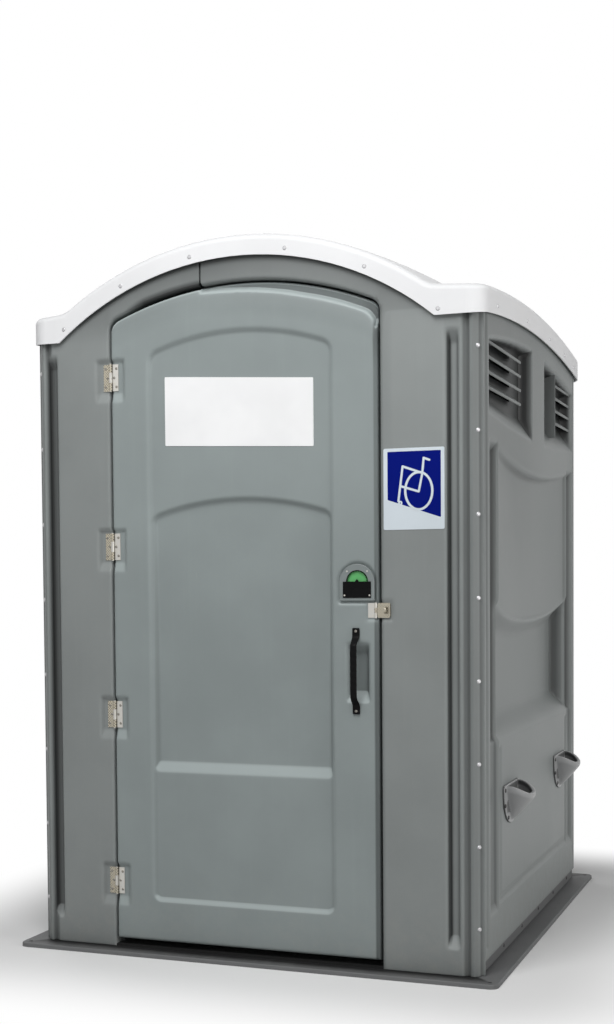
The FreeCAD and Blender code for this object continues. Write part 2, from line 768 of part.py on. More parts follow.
def hinge_recess(name, index, grow=0):
    """The pocket that holds both leaves of one hinge; it spans jamb and door."""
    height = hinge_height(index)
    return front_recess(
        name,
        (hinge_x - s.hinge_seat_half, hinge_x + s.hinge_seat_half),
        (height - s.hinge_seat_below, height + s.hinge_seat_above),
        s.hinge_seat, s.hinge_draft, s.hinge_ramp, s.hinge_head, grow)


def hasp_recess(name, grow=0):
    """The shallow pocket round the hasp; it spans door and jamb."""
    return front_recess(
        name,
        (s.hasp_axis - s.hasp_seat_left, s.hasp_axis + s.hasp_seat_right),
        (s.hasp_height - s.hasp_seat_below, s.hasp_height + s.hasp_seat_above),
        s.hasp_seat, s.hasp_seat_draft, s.hasp_seat_ramp, s.hasp_seat_draft, grow)


def bolt_slot(name, x_low, x_high):
    """The slot that the latch bolt enters."""
    return box(name, (x_low, x_high), (door_rear, door_rear + s.bolt_gauge + 3),
               (rack_foot - 1.5, dial_z - s.gear_module * 7 + 1.5))


def front_panels():
    """Two moulded panels, cut from one front form at the seam above the door."""
    face_half = side - s.corner_face - s.fold_edge - s.fold_width - s.fold_flank
    back = front + s.sheet
    foot = s.flange_height
    face = prism("FrontFace", "XZ", end_wall_outline(face_half, foot), front, back)
    lining = prism("DoorwayLining", "XZ", doorway_outline(-s.sheet, s.floor_height), front,
                   front + s.reveal_depth)
    solids = [face, lining, corner_wrap("LeftCorner", -1), corner_wrap("RightCorner", 1)]
    hollows = [prism("Doorway", "XZ", doorway_outline(0, foot - 1), front - 1,
                     front + s.reveal_depth + 1)]
    channels = ((s.left_channel, s.left_channel + s.channel_width),
                (s.right_channel, s.right_channel + s.channel_width))
    for number, x_range in enumerate(channels):
        for grow, store, word in ((s.sheet, solids, "Back"), (0, hollows, "")):
            store.append(front_recess(f"Channel{word}{number}", x_range,
                                      (s.channel_foot, s.channel_head), s.channel_depth,
                                      s.channel_draft, s.channel_ramp, s.channel_ramp, grow))
    for index in HINGES:
        solids.append(hinge_recess(f"HingeSeatBack{index}", index, s.sheet))
        hollows.append(hinge_recess(f"HingeSeat{index}", index))
    solids.append(hasp_recess("HaspSeatBack", s.sheet))
    hollows.append(hasp_recess("HaspSeat"))
    hollows.append(bolt_slot("BoltSlot", s.doorway_right - 1, s.doorway_right + s.sheet + 1))
    form = cut("FrontForm", fuse("FrontSolids", solids), hollows)
    seam = s.seam_place
    reach = s.panel_joint / 2
    far, deep = side + 20, front + s.reveal_depth + 20
    height = (foot, s.wall_top + 400)
    left = box("LeftOfSeam", (-far, seam - reach), (front - 5, deep), height)
    right = box("RightOfSeam", (seam + reach, far), (front - 5, deep), height)
    node("front_left_panel", common("FrontLeftPanel", form, left))
    node("front_right_panel", common("FrontRightPanel", form, right))


def vent_pocket(name, sign, grow=0):
    """One vent pocket: a ramp that follows a smile arc below, an arched edge above."""
    low = s.smile_low - grow
    centre_z = low + s.smile_radius
    deep = s.vent_depth + grow
    section = [
        (side + 0.0, low),
        (side - deep, low + s.vent_ramp),
        (side - deep, s.vent_head + 200),
        (side + 0.0, s.vent_head + 200),
    ]
    profile = free_sketch(name + "Section", "XZ", section)
    ring = doc.addObject("Part::Revolution", name + "Ring")
    ring.Source = profile
    ring.Axis = FreeCAD.Vector(1, 0, 0)
    bind(ring, "Base.z", centre_z)
    ring.Angle = 26
    ring.Symmetric = True
    ring.Solid = True
    u_in, u_out = s.vent_middle - grow, s.vent_end + grow
    radius = s.vent_arch + grow
    centre = s.vent_head - s.vent_arch
    heights = [centre + root(radius * radius - u * u) for u in (u_in, u_out)]
    outline = [
        (u_in, s.smile_low - 60),
        (u_out, s.smile_low - 60),
        (u_out, heights[1], (0, centre, radius)),
        (u_in, heights[0]),
    ]
    if sign < 0:
        outline = [(-corner[0],) + tuple(corner[1:]) for corner in outline]
    zone = prism(name + "Zone", "YZ", outline, side - deep, side)
    return common(name, ring, zone)


def louvre_block(name, sign):
    """Sloped blades between the corner pillar and an end plate."""
    pieces = []
    u_in, u_out = s.louvre_start, s.vent_end + 1
    low, high = (u_in, u_out) if sign > 0 else (-u_out, -u_in)
    root_x = side - s.vent_depth - 1
    edge_x = side - s.blade_face
    for row in range(4):
        z = s.blade_first + s.blade_pitch * row
        blade = [
            (edge_x, z),
            (edge_x, z + s.blade_gauge),
            (root_x, z + s.blade_gauge + s.blade_rise),
            (root_x, z + s.blade_rise),
        ]
        pieces.append(prism(f"{name}Blade{row}", "XZ", blade, low, high))
    plate = (u_in, u_in + s.blade_gauge) if sign > 0 else (-u_in - s.blade_gauge, -u_in)
    block = box(name + "End", (root_x, side - s.blade_face / 2), plate,
                (s.smile_low + s.vent_ramp / 2, s.vent_head))
    limit = vent_pocket(name + "Limit", sign, 0.5)
    pieces.append(common(name + "EndPlate", block, limit))
    return pieces


def belly_field(name, depth, foot, top, half, grow=0):
    """Field of the side wall between two smile arcs."""
    radius = s.belly_arch
    outline = []
    for height, shift in ((foot, -grow), (top, grow)):
        centre = height + radius + shift
        rise = centre - root(radius * radius - (half + grow) * (half + grow))
        outline.append((centre, rise))
    (low_centre, low_rise), (high_centre, high_rise) = outline
    reach = half + grow
    corners = [
        (-reach, low_rise, (0, low_centre, radius)),
        (reach, low_rise),
        (reach, high_rise, (0, high_centre, radius)),
        (-reach, high_rise),
    ]
    return prism(name, "YZ", corners, side - depth - grow, side)


def shelf_recess(name, grow=0):
    """Long lower recess: a ramp below, the smile edge of the middle field above."""
    deep = s.shelf_depth + grow
    section = [
        (side, s.shelf_foot - grow),
        (side - deep, s.shelf_foot + s.shelf_ramp - grow),
        (side - deep, s.belly_top),
        (side, s.belly_top),
    ]
    reach = s.belly_half + grow
    ramp = prism(name + "Ramp", "XZ", section, -reach, reach)
    radius = s.belly_arch
    centre = s.belly_foot + radius + grow
    rise = centre - root(radius * radius - reach * reach)
    corners = [
        (-reach, s.shelf_foot - 20),
        (reach, s.shelf_foot - 20),
        (reach, rise, (0, centre, radius)),
        (-reach, rise),
    ]
    zone = prism(name + "Zone", "YZ", corners, side - deep, side)
    return common(name, ramp, zone)


def side_wall_form():
    """The right side wall: one moulded sheet with louvred vents, grooves and recesses."""
    inner = side - s.sheet
    lip = side - s.return_lip
    solids = [
        box("WallFace", (inner, side), (wall_front, wall_rear), (s.skirt_top, s.wall_top)),
        prism("Skirt", "XZ",
              [(side, s.skirt_top), (inner, s.skirt_top), (inner + s.skirt_flare, s.curb_height),
               (side + s.skirt_flare, s.curb_height)], wall_front, wall_rear),
        box("WallFrontLip", (lip, inner), (wall_front, wall_front + s.sheet),
            (s.curb_height, s.wall_top)),
        box("WallRearLip", (lip, inner), (wall_rear - s.sheet, wall_rear),
            (s.curb_height, s.wall_top)),
        box("WallFootLip", (side - s.curb_inset - s.return_lip, inner + s.skirt_flare),
            (wall_front, wall_rear), (s.curb_height, s.curb_height + s.sheet)),
    ]
    hollows = []
    for grow, store, word in ((s.sheet, solids, "Back"), (0, hollows, "")):
        for sign, end in ((-1, "Front"), (1, "Rear")):
            store.append(vent_pocket(f"Vent{end}{word}", sign, grow))
            low, high = s.groove_inner * sign, s.groove_outer * sign
            y_range = (low, high) if sign > 0 else (high, low)
            store.append(side_recess(f"Groove{end}{word}", y_range,
                                     (s.groove_step, s.groove_head), s.groove_depth,
                                     8, 16, 30, grow))
            store.append(side_recess(f"GrooveFoot{end}{word}", y_range,
                                     (s.groove_foot, s.groove_step + 30), s.groove_shallow,
                                     8, 30, 4, grow))
        store.append(belly_field(f"Belly{word}", s.belly_depth, s.belly_foot - 40, s.belly_top,
                                 s.belly_half, grow))
        store.append(shelf_recess(f"Shelf{word}", grow))
    for sign, end in ((-1, "Front"), (1, "Rear")):
        u_in, u_out = s.louvre_start + 14, s.vent_end - 14
        y_range = (u_in, u_out) if sign > 0 else (-u_out, -u_in)
        for row in range(4):
            z = s.blade_first + s.blade_pitch * row + 12
            hollows.append(box(f"AirSlot{end}{row}",
                               (side - s.vent_depth - s.sheet - 1, side - s.vent_depth + 1),
                               y_range, (z, z + 16)))
    shell = cut("WallShell", fuse("WallSolids", solids), hollows)
    blades = louvre_block("LouvreFront", -1) + louvre_block("LouvreRear", 1)
    return fuse("RightWall", [shell] + blades)


def side_walls():
    right = side_wall_form()
    node("right_wall", right)
    node("left_wall", mirrored("LeftWall", right))


def rear_wall():
    """Rear sheet with rounded corners and two tall shallow recesses."""
    inner = rear - s.sheet
    half = side - s.rear_corner
    foot = s.curb_height
    solids = [prism("RearFace", "XZ", end_wall_outline(half, foot), inner, rear)]
    turn_y = rear - s.rear_corner
    small = s.rear_corner - s.sheet
    for sign, word in ((-1, "Left"), (1, "Right")):
        corners = [
            (half, rear, (half, turn_y, s.rear_corner)),
            (side, turn_y),
            (side - s.return_lip, turn_y),
            (side - s.return_lip, turn_y + s.sheet),
            (side - s.sheet - 0.17, turn_y + s.sheet, (half, turn_y, small)),
            (half, inner),
        ]
        outline = [(c[0] * sign, c[1]) if len(c) == 2 else
                   (c[0] * sign, c[1], (c[2][0] * sign, c[2][1], c[2][2])) for c in corners]
        solids.append(prism(f"RearCorner{word}", "XY", outline, foot, s.wall_top))
    solids.append(box("RearFootLip", (-half, half), (rear - s.curb_inset - s.return_lip, inner),
                      (foot, foot + s.sheet)))
    hollows = []
    fields = ((-s.rear_field_outer, -s.rear_field_inner), (s.rear_field_inner, s.rear_field_outer))
    for number, x_range in enumerate(fields):
        for grow, store, word in ((s.sheet, solids, "Back"), (0, hollows, "")):
            store.append(front_recess(f"RearField{word}{number}", x_range,
                                      (s.rear_field_foot, s.rear_field_head), s.rear_field_depth,
                                      s.rear_field_draft, s.rear_field_ramp, s.rear_field_ramp,
                                      grow, -1))
    node("rear_wall", cut("RearWall", fuse("RearSolids", solids), hollows))


def roof_form(name, inset, foot):
    """Barrel roof with flat ears, crowned from front to rear about a far axis."""
    body = doc.addObject("PartDesign::Body", name)
    half_x = side + s.roof_overhang - inset
    half_y = s.wall_depth / 2 + s.roof_overhang - inset
    radius = s.apron_arch + s.apron_height - inset
    centre = apron_centre + s.roof_crown
    ear = s.ear_top + s.roof_crown - inset
    rise = ear - centre
    reach = root(radius * radius - rise * rise)
    outline = [
        (-half_x - 20, foot),
        (half_x + 20, foot),
        (half_x + 20, ear - 14),
        (s.arch_middle + reach, ear, (s.arch_middle, centre, radius)),
        (s.arch_middle - reach, ear),
        (-half_x - 20, ear - 14),
    ]
    sketch = body_sketch(body, name + "Profile", "XZ", outline)
    far = (s.wall_depth * s.wall_depth) / (s.roof_crown * 8)
    axis = Part.LineSegment(FreeCAD.Vector(-900, -far.value, 0), FreeCAD.Vector(900, -far.value, 0))
    line = sketch.addGeometry(axis, True)
    sketch.addConstraint(Sketcher.Constraint("Horizontal", line))
    row = sketch.addConstraint(
        Sketcher.Constraint("DistanceY", -1, 1, line, 1, (s.apron_crest - far).value))
    bind(sketch, f"Constraints[{row}]", s.apron_crest - far)
    crown = body.newObject("PartDesign::Revolution", name + "Crown")
    crown.Profile = sketch
    crown.ReferenceAxis = (sketch, ["Axis0"])
    crown.Angle = 17
    crown.Midplane = True
    body_fillet(body, name + "Valley", 90,
                lambda e: abs(edge_middle(e).z - ear.value) < 2
                and abs(abs(edge_middle(e).x - s.arch_middle.value) - reach.value) < 2)
    ring = body_sketch(body, name + "Plan", "XY",
                       rounded_rectangle(-half_x, half_x, -half_y, half_y, s.roof_corner - inset),
                       1500)
    draw(ring, rectangle(-half_x - 400, half_x + 400, -half_y - 400, half_y + 400))
    trim = body.newObject("PartDesign::Pocket", name + "Trim")
    trim.Profile = ring
    trim.Reversed = True
    trim.Length = 1500
    body_fillet(body, name + "Edge", s.roof_round - inset,
                lambda e: edge_middle(e).z > s.ear_top.value - 30 and (
                    abs(edge_middle(e).x) > half_x.value - s.roof_corner.value * 0.6
                    or abs(edge_middle(e).y) > half_y.value - s.roof_corner.value * 0.6)
                and not runs_along(e, 2))
    return body


def roof():
    """Thin translucent roof whose apron laps over the walls."""
    outer = roof_form("RoofOuter", as_size(0), s.apron_foot + s.roof_crown)
    inner = roof_form("RoofInner", s.roof_sheet, s.apron_foot)
    middle = s.arch_middle
    far = s.wall_depth
    chord = s.apron_foot - 12
    rise = chord - apron_centre
    reach = root(s.apron_arch * s.apron_arch - rise * rise)
    arch = prism("ApronArch", "XZ",
                 [(middle - reach, chord),
                  (middle + reach, chord, (middle, apron_centre, s.apron_arch))],
                 -far, far)
    hole = rod("RoofHole", "Z", s.pipe_radius + 1.5, 1900, 700, s.pipe_place_x, s.pipe_place_y, 0)
    node("roof", cut("Roof", outer, [inner, arch, hole]))


def head(name, place, way, radius, rise, tip):
    """A low round head: a short cone that stands on a face and points along way."""
    item = doc.addObject("Part::Cone", name)
    bind(item, "Radius1", radius)
    bind(item, "Radius2", tip)
    bind(item, "Height", rise)
    turn = FreeCAD.Rotation(FreeCAD.Vector(0, 0, 1), FreeCAD.Vector(*way))
    item.Placement = FreeCAD.Placement(FreeCAD.Vector(), turn)
    return move_to(item, *place)


def rivet(name, place, way):
    return head(name, place, way, s.rivet_radius, s.rivet_rise, s.rivet_radius * 0.6)


def screw(name, place, way, radius=4.5):
    return head(name, place, way, radius, 1.6, as_size(radius) * 0.65)


def eave_strips():
    """Spacers between the roof apron and the walls, where the roof is riveted."""
    gap = s.roof_overhang - s.roof_sheet
    half = s.wall_depth / 2
    low, high = s.apron_arch + 8, s.apron_arch + 30
    strips = []
    for sign, word in ((-1, "Left"), (1, "Right")):
        x_range = (side, side + gap) if sign > 0 else (-side - gap, -side)
        strips.append(box(f"EaveStrip{word}", x_range, (-half + s.roof_corner, half - 2 * s.roof_corner),
                          (s.wall_top - 15, s.wall_top - 2)))
    reach = 570
    for start, word in ((front - gap, "Front"), (rear, "Rear")):
        heights = [apron_centre + root(r * r - reach * reach) for r in (low, high)]
        middle = s.arch_middle
        ring = [
            (middle - reach, heights[1], (middle, apron_centre, high)),
            (middle + reach, heights[1]),
            (middle + reach, heights[0], (middle, apron_centre, low)),
            (middle - reach, heights[0]),
        ]
        strips.append(prism(f"EaveStrip{word}", "XZ", ring, start, start + gap))
    node("eave_strips", group("EaveStrips", strips))


def rivets():
    """Blind rivets of the roof, the corners and the base."""
    heads = []
    edge = s.wall_depth / 2 + s.roof_overhang
    radius = s.apron_arch + 22
    for number, x in enumerate((-650, -436, -187, 142, 404, 637)):
        offset = x - s.arch_middle
        z = apron_centre + root(radius * radius - offset * offset)
        for sign in (-1, 1):
            heads.append(rivet(f"RoofRivet{number}{'FR'[sign > 0]}", (x, edge * sign, z), (0, sign, 0)))
    for number, y in enumerate((-657, -213, 187, 485, 690)):
        share = as_size(y) / (s.wall_depth / 2)
        eave = s.apron_foot + s.roof_crown - s.roof_crown * share * share
        for sign in (-1, 1):
            place = ((side + s.roof_overhang) * sign, y, eave + 25)
            heads.append(rivet(f"EaveRivet{number}{'LR'[sign > 0]}", place, (sign, 0, 0)))
    node("roof_rivets", group("RoofRivets", heads))

    heads = []
    inset = s.corner_face / 2
    for row in range(8):
        z = s.rivet_first + s.rivet_step * row
        for sign in (-1, 1):
            word = "LR"[sign > 0]
            heads.append(rivet(f"CornerRivet{row}{word}", ((side - inset) * sign, front + inset, z),
                               (sign, -1, 0)))
            heads.append(rivet(f"RearRivet{row}{word}",
                               ((side - s.rear_corner - s.rivet_radius - 3) * sign, rear, z),
                               (0, 1, 0)))
    node("corner_rivets", group("CornerRivets", heads))

    heads = []
    for row in range(5):
        for sign in (-1, 1):
            place = ((side - s.curb_inset) * sign, s.base_rivet_first + s.base_rivet_step * row,
                     s.base_rivet_height)
            heads.append(rivet(f"BaseRivet{row}{'LR'[sign > 0]}", place, (sign, 0, 0)))
    node("base_rivets", group("BaseRivets", heads))


def bowl(name, middle, foot, top, inset):
    """A lofted bowl, narrow at its foot and wide at its mouth, that runs into the wall."""
    sections = []
    buried = 130
    rows = [(foot + rise, s.cup_mouth * broad, s.cup_reach * out) for rise, broad, out in BOWL_ROWS]
    rows.append((top, s.cup_mouth, s.cup_reach + s.cup_lip))
    for number, (z, half, reach) in enumerate(rows):
        half, reach = as_size(half) - inset, as_size(reach) - inset
        corner = half * 0.8
        outline = rounded_rectangle(side - buried, side + reach, middle - half, middle + half, corner)
        sections.append(free_sketch(f"{name}Section{number}", "XY", outline, z))
    item = doc.addObject("Part::Loft", name)
    item.Sections = sections
    item.Solid = True
    item.Ruled = False
    return item


def lifting_cup(name, sign):
    """A bowl with a slanted mouth on a bolted round-footed flange."""
    middle = (rear - s.cup_setback) * sign
    half = s.cup_width / 2
    top = s.cup_low + s.cup_height
    low = s.cup_low + half
    r = s.cup_corner
    shield = [
        (middle + half, low),
        (middle + half, top - r, (middle + half - r, top - r, r)),
        (middle + half - r, top),
        (middle - half + r, top, (middle - half + r, top - r, r)),
        (middle - half, top - r),
        (middle - half, low, (middle, low, half)),
        (middle, s.cup_low, (middle, low, half)),
    ]
    flange = prism(name + "Flange", "YZ", shield, side, side + s.cup_flange)
    foot = s.cup_low + s.cup_foot
    beyond, above, inwards = 20, 60, 10
    outer = bowl(name + "Bowl", middle, foot, top + beyond, 0)
    inner = bowl(name + "Hollow", middle, foot + s.cup_gauge, top + beyond + inwards, s.cup_gauge)
    reach = s.cup_reach + above
    behind = box(name + "Behind", (side - 160, side),
                 (middle - half - beyond, middle + half + beyond), (s.cup_low - 5, top + above))
    fall = (top - s.cup_low) * 0.38
    mouth = prism(name + "Mouth", "XZ",
                  [(side - inwards, top + 3), (side + s.cup_reach, top - fall),
                   (side + reach, top - fall - s.cup_nose),
                   (side + reach, top + above), (side - inwards, top + above)],
                  middle - half - beyond, middle + half + beyond)
    shell = cut(name + "Shell", outer, [behind, mouth])
    keep = box(name + "Keep", (side + s.cup_flange, side + reach), (middle - half, middle + half),
               (foot, top + above))
    hollow = common(name + "Room", inner, keep)
    return cut(name, fuse(name + "Body", [flange, shell]), [hollow])


def lifting_cups():
    heads = []
    for sign, end in ((-1, "front"), (1, "rear")):
        right = lifting_cup(f"Cup{end.title()}", sign)
        node(f"lifting_cup_right_{end}", right)
        node(f"lifting_cup_left_{end}", mirrored(f"CupLeft{end.title()}", right))
        middle = (rear - s.cup_setback) * sign
        half = s.cup_width / 2 - s.cup_bolt_side
        spots = ((half, s.cup_height - s.cup_bolt_top), (half, s.cup_height - s.cup_bolt_middle),
                 (half * 0.55, s.cup_bolt_foot))
        for number, (across, rise) in enumerate(spots):
            for way in (-1, 1):
                for hand in (-1, 1):
                    place = ((side + s.cup_flange) * way, middle + across * hand, s.cup_low + rise)
                    word = "LR"[way > 0] + "FR"[hand > 0]
                    heads.append(head(f"CupBolt{end}{number}{word}", place, (way, 0, 0), 7, 4, 5.6))
    node("cup_bolts", group("CupBolts", heads))


def hinges():
    """Four leaf hinges; the pins stay in the frame leaves."""
    half = s.hinge_height / 2
    third = s.hinge_middle / 2
    leaf_front = front + s.hinge_seat - s.hinge_gauge
    leaf_back = front + s.hinge_seat
    pins, frame_screws, door_screws = [], [], []
    for index in HINGES:
        z = hinge_height(index)
        low, high = z - half, z + half
        outer = ((low, z - third), (z + third, high))
        inner = ((z - third + s.hinge_slack, z + third - s.hinge_slack),)
        for word, way, knuckles, gaps, bore in (
            ("Frame", -1, outer, inner, s.pin_radius),
            ("Door", 1, inner, outer, s.pin_radius + s.pin_play),
        ):
            x_range = (hinge_x, hinge_x + s.hinge_leaf) if way > 0 else (hinge_x - s.hinge_leaf, hinge_x)
            solids = [box(f"{word}Leaf{index}", x_range, (leaf_front, leaf_back), (low, high))]
            for number, (a, b) in enumerate(knuckles):
                solids.append(rod(f"{word}Knuckle{index}{number}", "Z", s.knuckle_radius, a,
                                  as_size(b) - a, hinge_x, hinge_y, 0))
            clear = s.knuckle_radius + s.hinge_slack
            notch_x = (hinge_x - 1, hinge_x + clear) if way > 0 else (hinge_x - clear, hinge_x + 1)
            tools = [rod(f"{word}Bore{index}", "Z", bore, low - 1, s.hinge_height + 2,
                         hinge_x, hinge_y, 0)]
            for number, (a, b) in enumerate(gaps):
                reach = s.hinge_slack * 2 if word == "Frame" else s.hinge_slack
                tools.append(box(f"{word}Notch{index}{number}", notch_x,
                                 (leaf_front - 1, leaf_back + 1), (as_size(a) - reach, as_size(b) + reach)))
            name = f"hinge_{word.lower()}_leaf_{index + 1}"
            node(name, cut(f"{word}HingeLeaf{index}", fuse(f"{word}HingeForm{index}", solids), tools))
            heads = frame_screws if way < 0 else door_screws
            for row, (offset, shift) in enumerate(((-30, 20), (0, 12), (30, 20))):
                heads.append(screw(f"{word}Screw{index}{row}",
                                   (hinge_x + shift * way, leaf_front, z + offset), (0, -1, 0)))
        shaft = rod(f"HingePin{index}", "Z", s.pin_radius, low, s.hinge_height, hinge_x, hinge_y, 0)
        caps = [rod(f"HingePinCap{index}{number}", "Z", s.pin_radius + 1.5, start, 2, hinge_x, hinge_y, 0)
                for number, start in enumerate((low - 2, high))]
        pins.append(fuse(f"HingePinWhole{index}", [shaft] + caps))
    node("hinge_pins", group("HingePins", pins))
    node("hinge_frame_screws", group("HingeFrameScrews", frame_screws))
    node("hinge_door_screws", group("HingeDoorScrews", door_screws))


def field_prism(name, inset, foot, crest, radius, corner, grow, start, end, ramp=0):
    """An arched field of the door; its foot may slope in towards the back."""
    outline = arched_outline(s.panel_left + inset - grow, s.panel_right - inset + grow,
                             foot - grow, (s.panel_left + s.panel_right) / 2,
                             crest - radius, radius + grow, corner + grow, corner)
    block = prism(name, "XZ", outline, start, end + grow)
    if not ramp:
        return block
    left, right = s.panel_left - 20, s.panel_right + 20
    low = as_size(foot) - grow
    slope = [(start, low), (end + grow, low + ramp), (end + grow, low - 20), (start, low - 20)]
    wedge = prism(name + "Slope", "YZ", slope, left, right)
    return cut(name + "Ramped", block, [wedge])


def door():
    """Moulded outer leaf and flat inner leaf of the door."""
    gap, foot = s.door_gap, s.door_bottom
    block = prism("DoorBlock", "XZ", doorway_outline(gap, foot), front, front + s.door_shell)
    face = front.value
    outer = rounded("DoorRounded", block, s.door_round, lambda e: edge_at(e, 1, face))
    cavity = prism("DoorCavity", "XZ", doorway_outline(gap + s.sheet, foot + s.sheet),
                   front + s.sheet, front + s.door_shell + 1)
    shell = cut("DoorShell", outer, [cavity])
    solids, hollows = [shell], []
    recess_back = front + s.panel_depth
    for grow, store, word in ((s.sheet, solids, "Back"), (0, hollows, "")):
        store.append(field_prism(f"DoorRecess{word}", as_size(0), s.panel_foot, s.panel_crest,
                                 s.panel_arch, s.panel_corner, grow, front, recess_back))
        store.append(field_prism(f"DoorField{word}", s.field_inset, s.field_ledge, s.field_crest,
                                 s.field_arch, s.panel_corner, grow, front,
                                 recess_back + s.field_depth, s.field_ramp))
        store.append(front_recess(f"FingerRecess{word}",
                                  (s.handle_place - 32, s.handle_place + 43),
                                  (s.handle_foot + 36, s.handle_foot + s.handle_length - 44),
                                  s.finger_depth, 10, 34, 34, grow))
        seats = [hinge_recess(f"DoorHingeSeat{word}{index}", index, grow) for index in HINGES]
        seats.append(hasp_recess(f"DoorHaspSeat{word}", grow))
        seats.append(indicator_seat(f"IndicatorSeat{word}", grow))
        if grow:
            seats = [common(f"DoorSeat{number}", seat, outer) for number, seat in enumerate(seats)]
        store.extend(seats)
    hollows.append(rod("DialHole", "Y", s.shaft_radius + s.pin_play, front - 1, s.door_shell,
                       s.dial_place, 0, dial_z))
    node("door_outer_panel", cut("DoorOuterPanel", fuse("DoorSolids", solids), hollows))
    plate = prism("DoorInnerPlate", "XZ", doorway_outline(gap, foot), front + s.door_shell, door_rear)
    hole = rod("DialHoleInner", "Y", s.shaft_radius + s.pin_play, front + s.door_shell - 1,
               s.door_back + 2, s.dial_place, 0, dial_z)
    node("door_inner_panel", cut("DoorInnerPanel", plate, [hole]))


def indicator_outline(grow):
    """Round-topped outline of the indicator frame, or one outside it."""
    middle, r = s.dial_place - 3, s.bezel_radius + grow
    height = dial_z - 2
    centre = (middle, height, r)
    return [(middle - r, dial_z - s.bezel_drop - grow), (middle + r, dial_z - s.bezel_drop - grow),
            (middle + r, height, centre), (middle, height + r, centre), (middle - r, height)]


def indicator_seat(name, grow=0):
    """The shallow pocket that the indicator frame stands in, with a sloped foot."""
    back = front + s.bezel_seat + grow
    block = prism(name, "XZ", indicator_outline(s.bezel_margin + grow), front, back)
    low = dial_z - s.bezel_drop - s.bezel_margin - grow
    slope = [(front, low), (back, low + s.bezel_margin), (back, low - 9), (front, low - 9)]
    wedge = prism(name + "Foot", "YZ", slope, s.dial_place - 90, s.dial_place + 90)
    return cut(name + "Sloped", block, [wedge])


def handles():
    """Outer pull over the finger recess, and a plain pull inside."""
    x_range = (s.handle_place - s.handle_width / 2, s.handle_place + s.handle_width / 2)
    grip = 14

    def pull(name, wall, way, foot, length, reach):
        out = lambda distance: wall + distance * way
        top = foot + length
        outline = [
            (out(0), foot), (out(6), foot), (out(6), foot + 20), (out(reach), foot + 56),
            (out(reach), top - 56), (out(6), top - 20), (out(6), top), (out(0), top),
            (out(0), top - 24), (out(reach - grip), top - 62), (out(reach - grip), foot + 62),
            (out(0), foot + 24),
        ]
        bar = prism(name, "YZ", outline, *x_range)
        return rounded(name + "Rounded", bar, 3, lambda e: runs_long(e, wall, way))

    def runs_long(edge, wall, way):
        y = edge_middle(edge).y
        return runs_flat(edge) and (y - wall.value) * way > 6.1

    def runs_flat(edge):
        return abs(edge_middle(edge).x - s.handle_place.value) > s.handle_width.value / 2 - 0.01

    node("door_handle", pull("DoorHandle", front, -1, s.handle_foot, s.handle_length, s.handle_reach))
    foot = s.handle_foot + 10
    length = s.handle_length - 20
    node("inner_pull", pull("InnerPull", door_rear, 1, foot, length, s.handle_reach))
    heads = []
    for number, (y, z, way) in enumerate((
        (front - 6, s.handle_foot + 10, -1),
        (front - 6, s.handle_foot + s.handle_length - 10, -1),
        (door_rear + 6, foot + 10, 1),
        (door_rear + 6, foot + length - 10, 1),
    )):
        heads.append(screw(f"HandleScrew{number}", (s.handle_place, y, z), (0, way, 0)))
    node("handle_screws", group("HandleScrews", heads))


def gear_outline(teeth, module, centre_x, centre_z, backlash):
    """Straight-flanked teeth on a wheel, tips at whole steps from the +X side."""
    corners = []
    step = 2 * math.pi / teeth
    pitch_r = module * (teeth / 2)
    slack = backlash / 2 / pitch_r.value
    for number in range(teeth):
        for angle, radius in (
            (-0.40 * step, pitch_r - module * 1.15),
            (-0.25 * step + slack, pitch_r),
            (-0.11 * step, pitch_r + module * 0.9),
            (0.11 * step, pitch_r + module * 0.9),
            (0.25 * step - slack, pitch_r),
            (0.40 * step, pitch_r - module * 1.15),
        ):
            turn = number * step + angle
            corners.append((centre_x + radius * math.cos(turn), centre_z + radius * math.sin(turn)))
    return corners


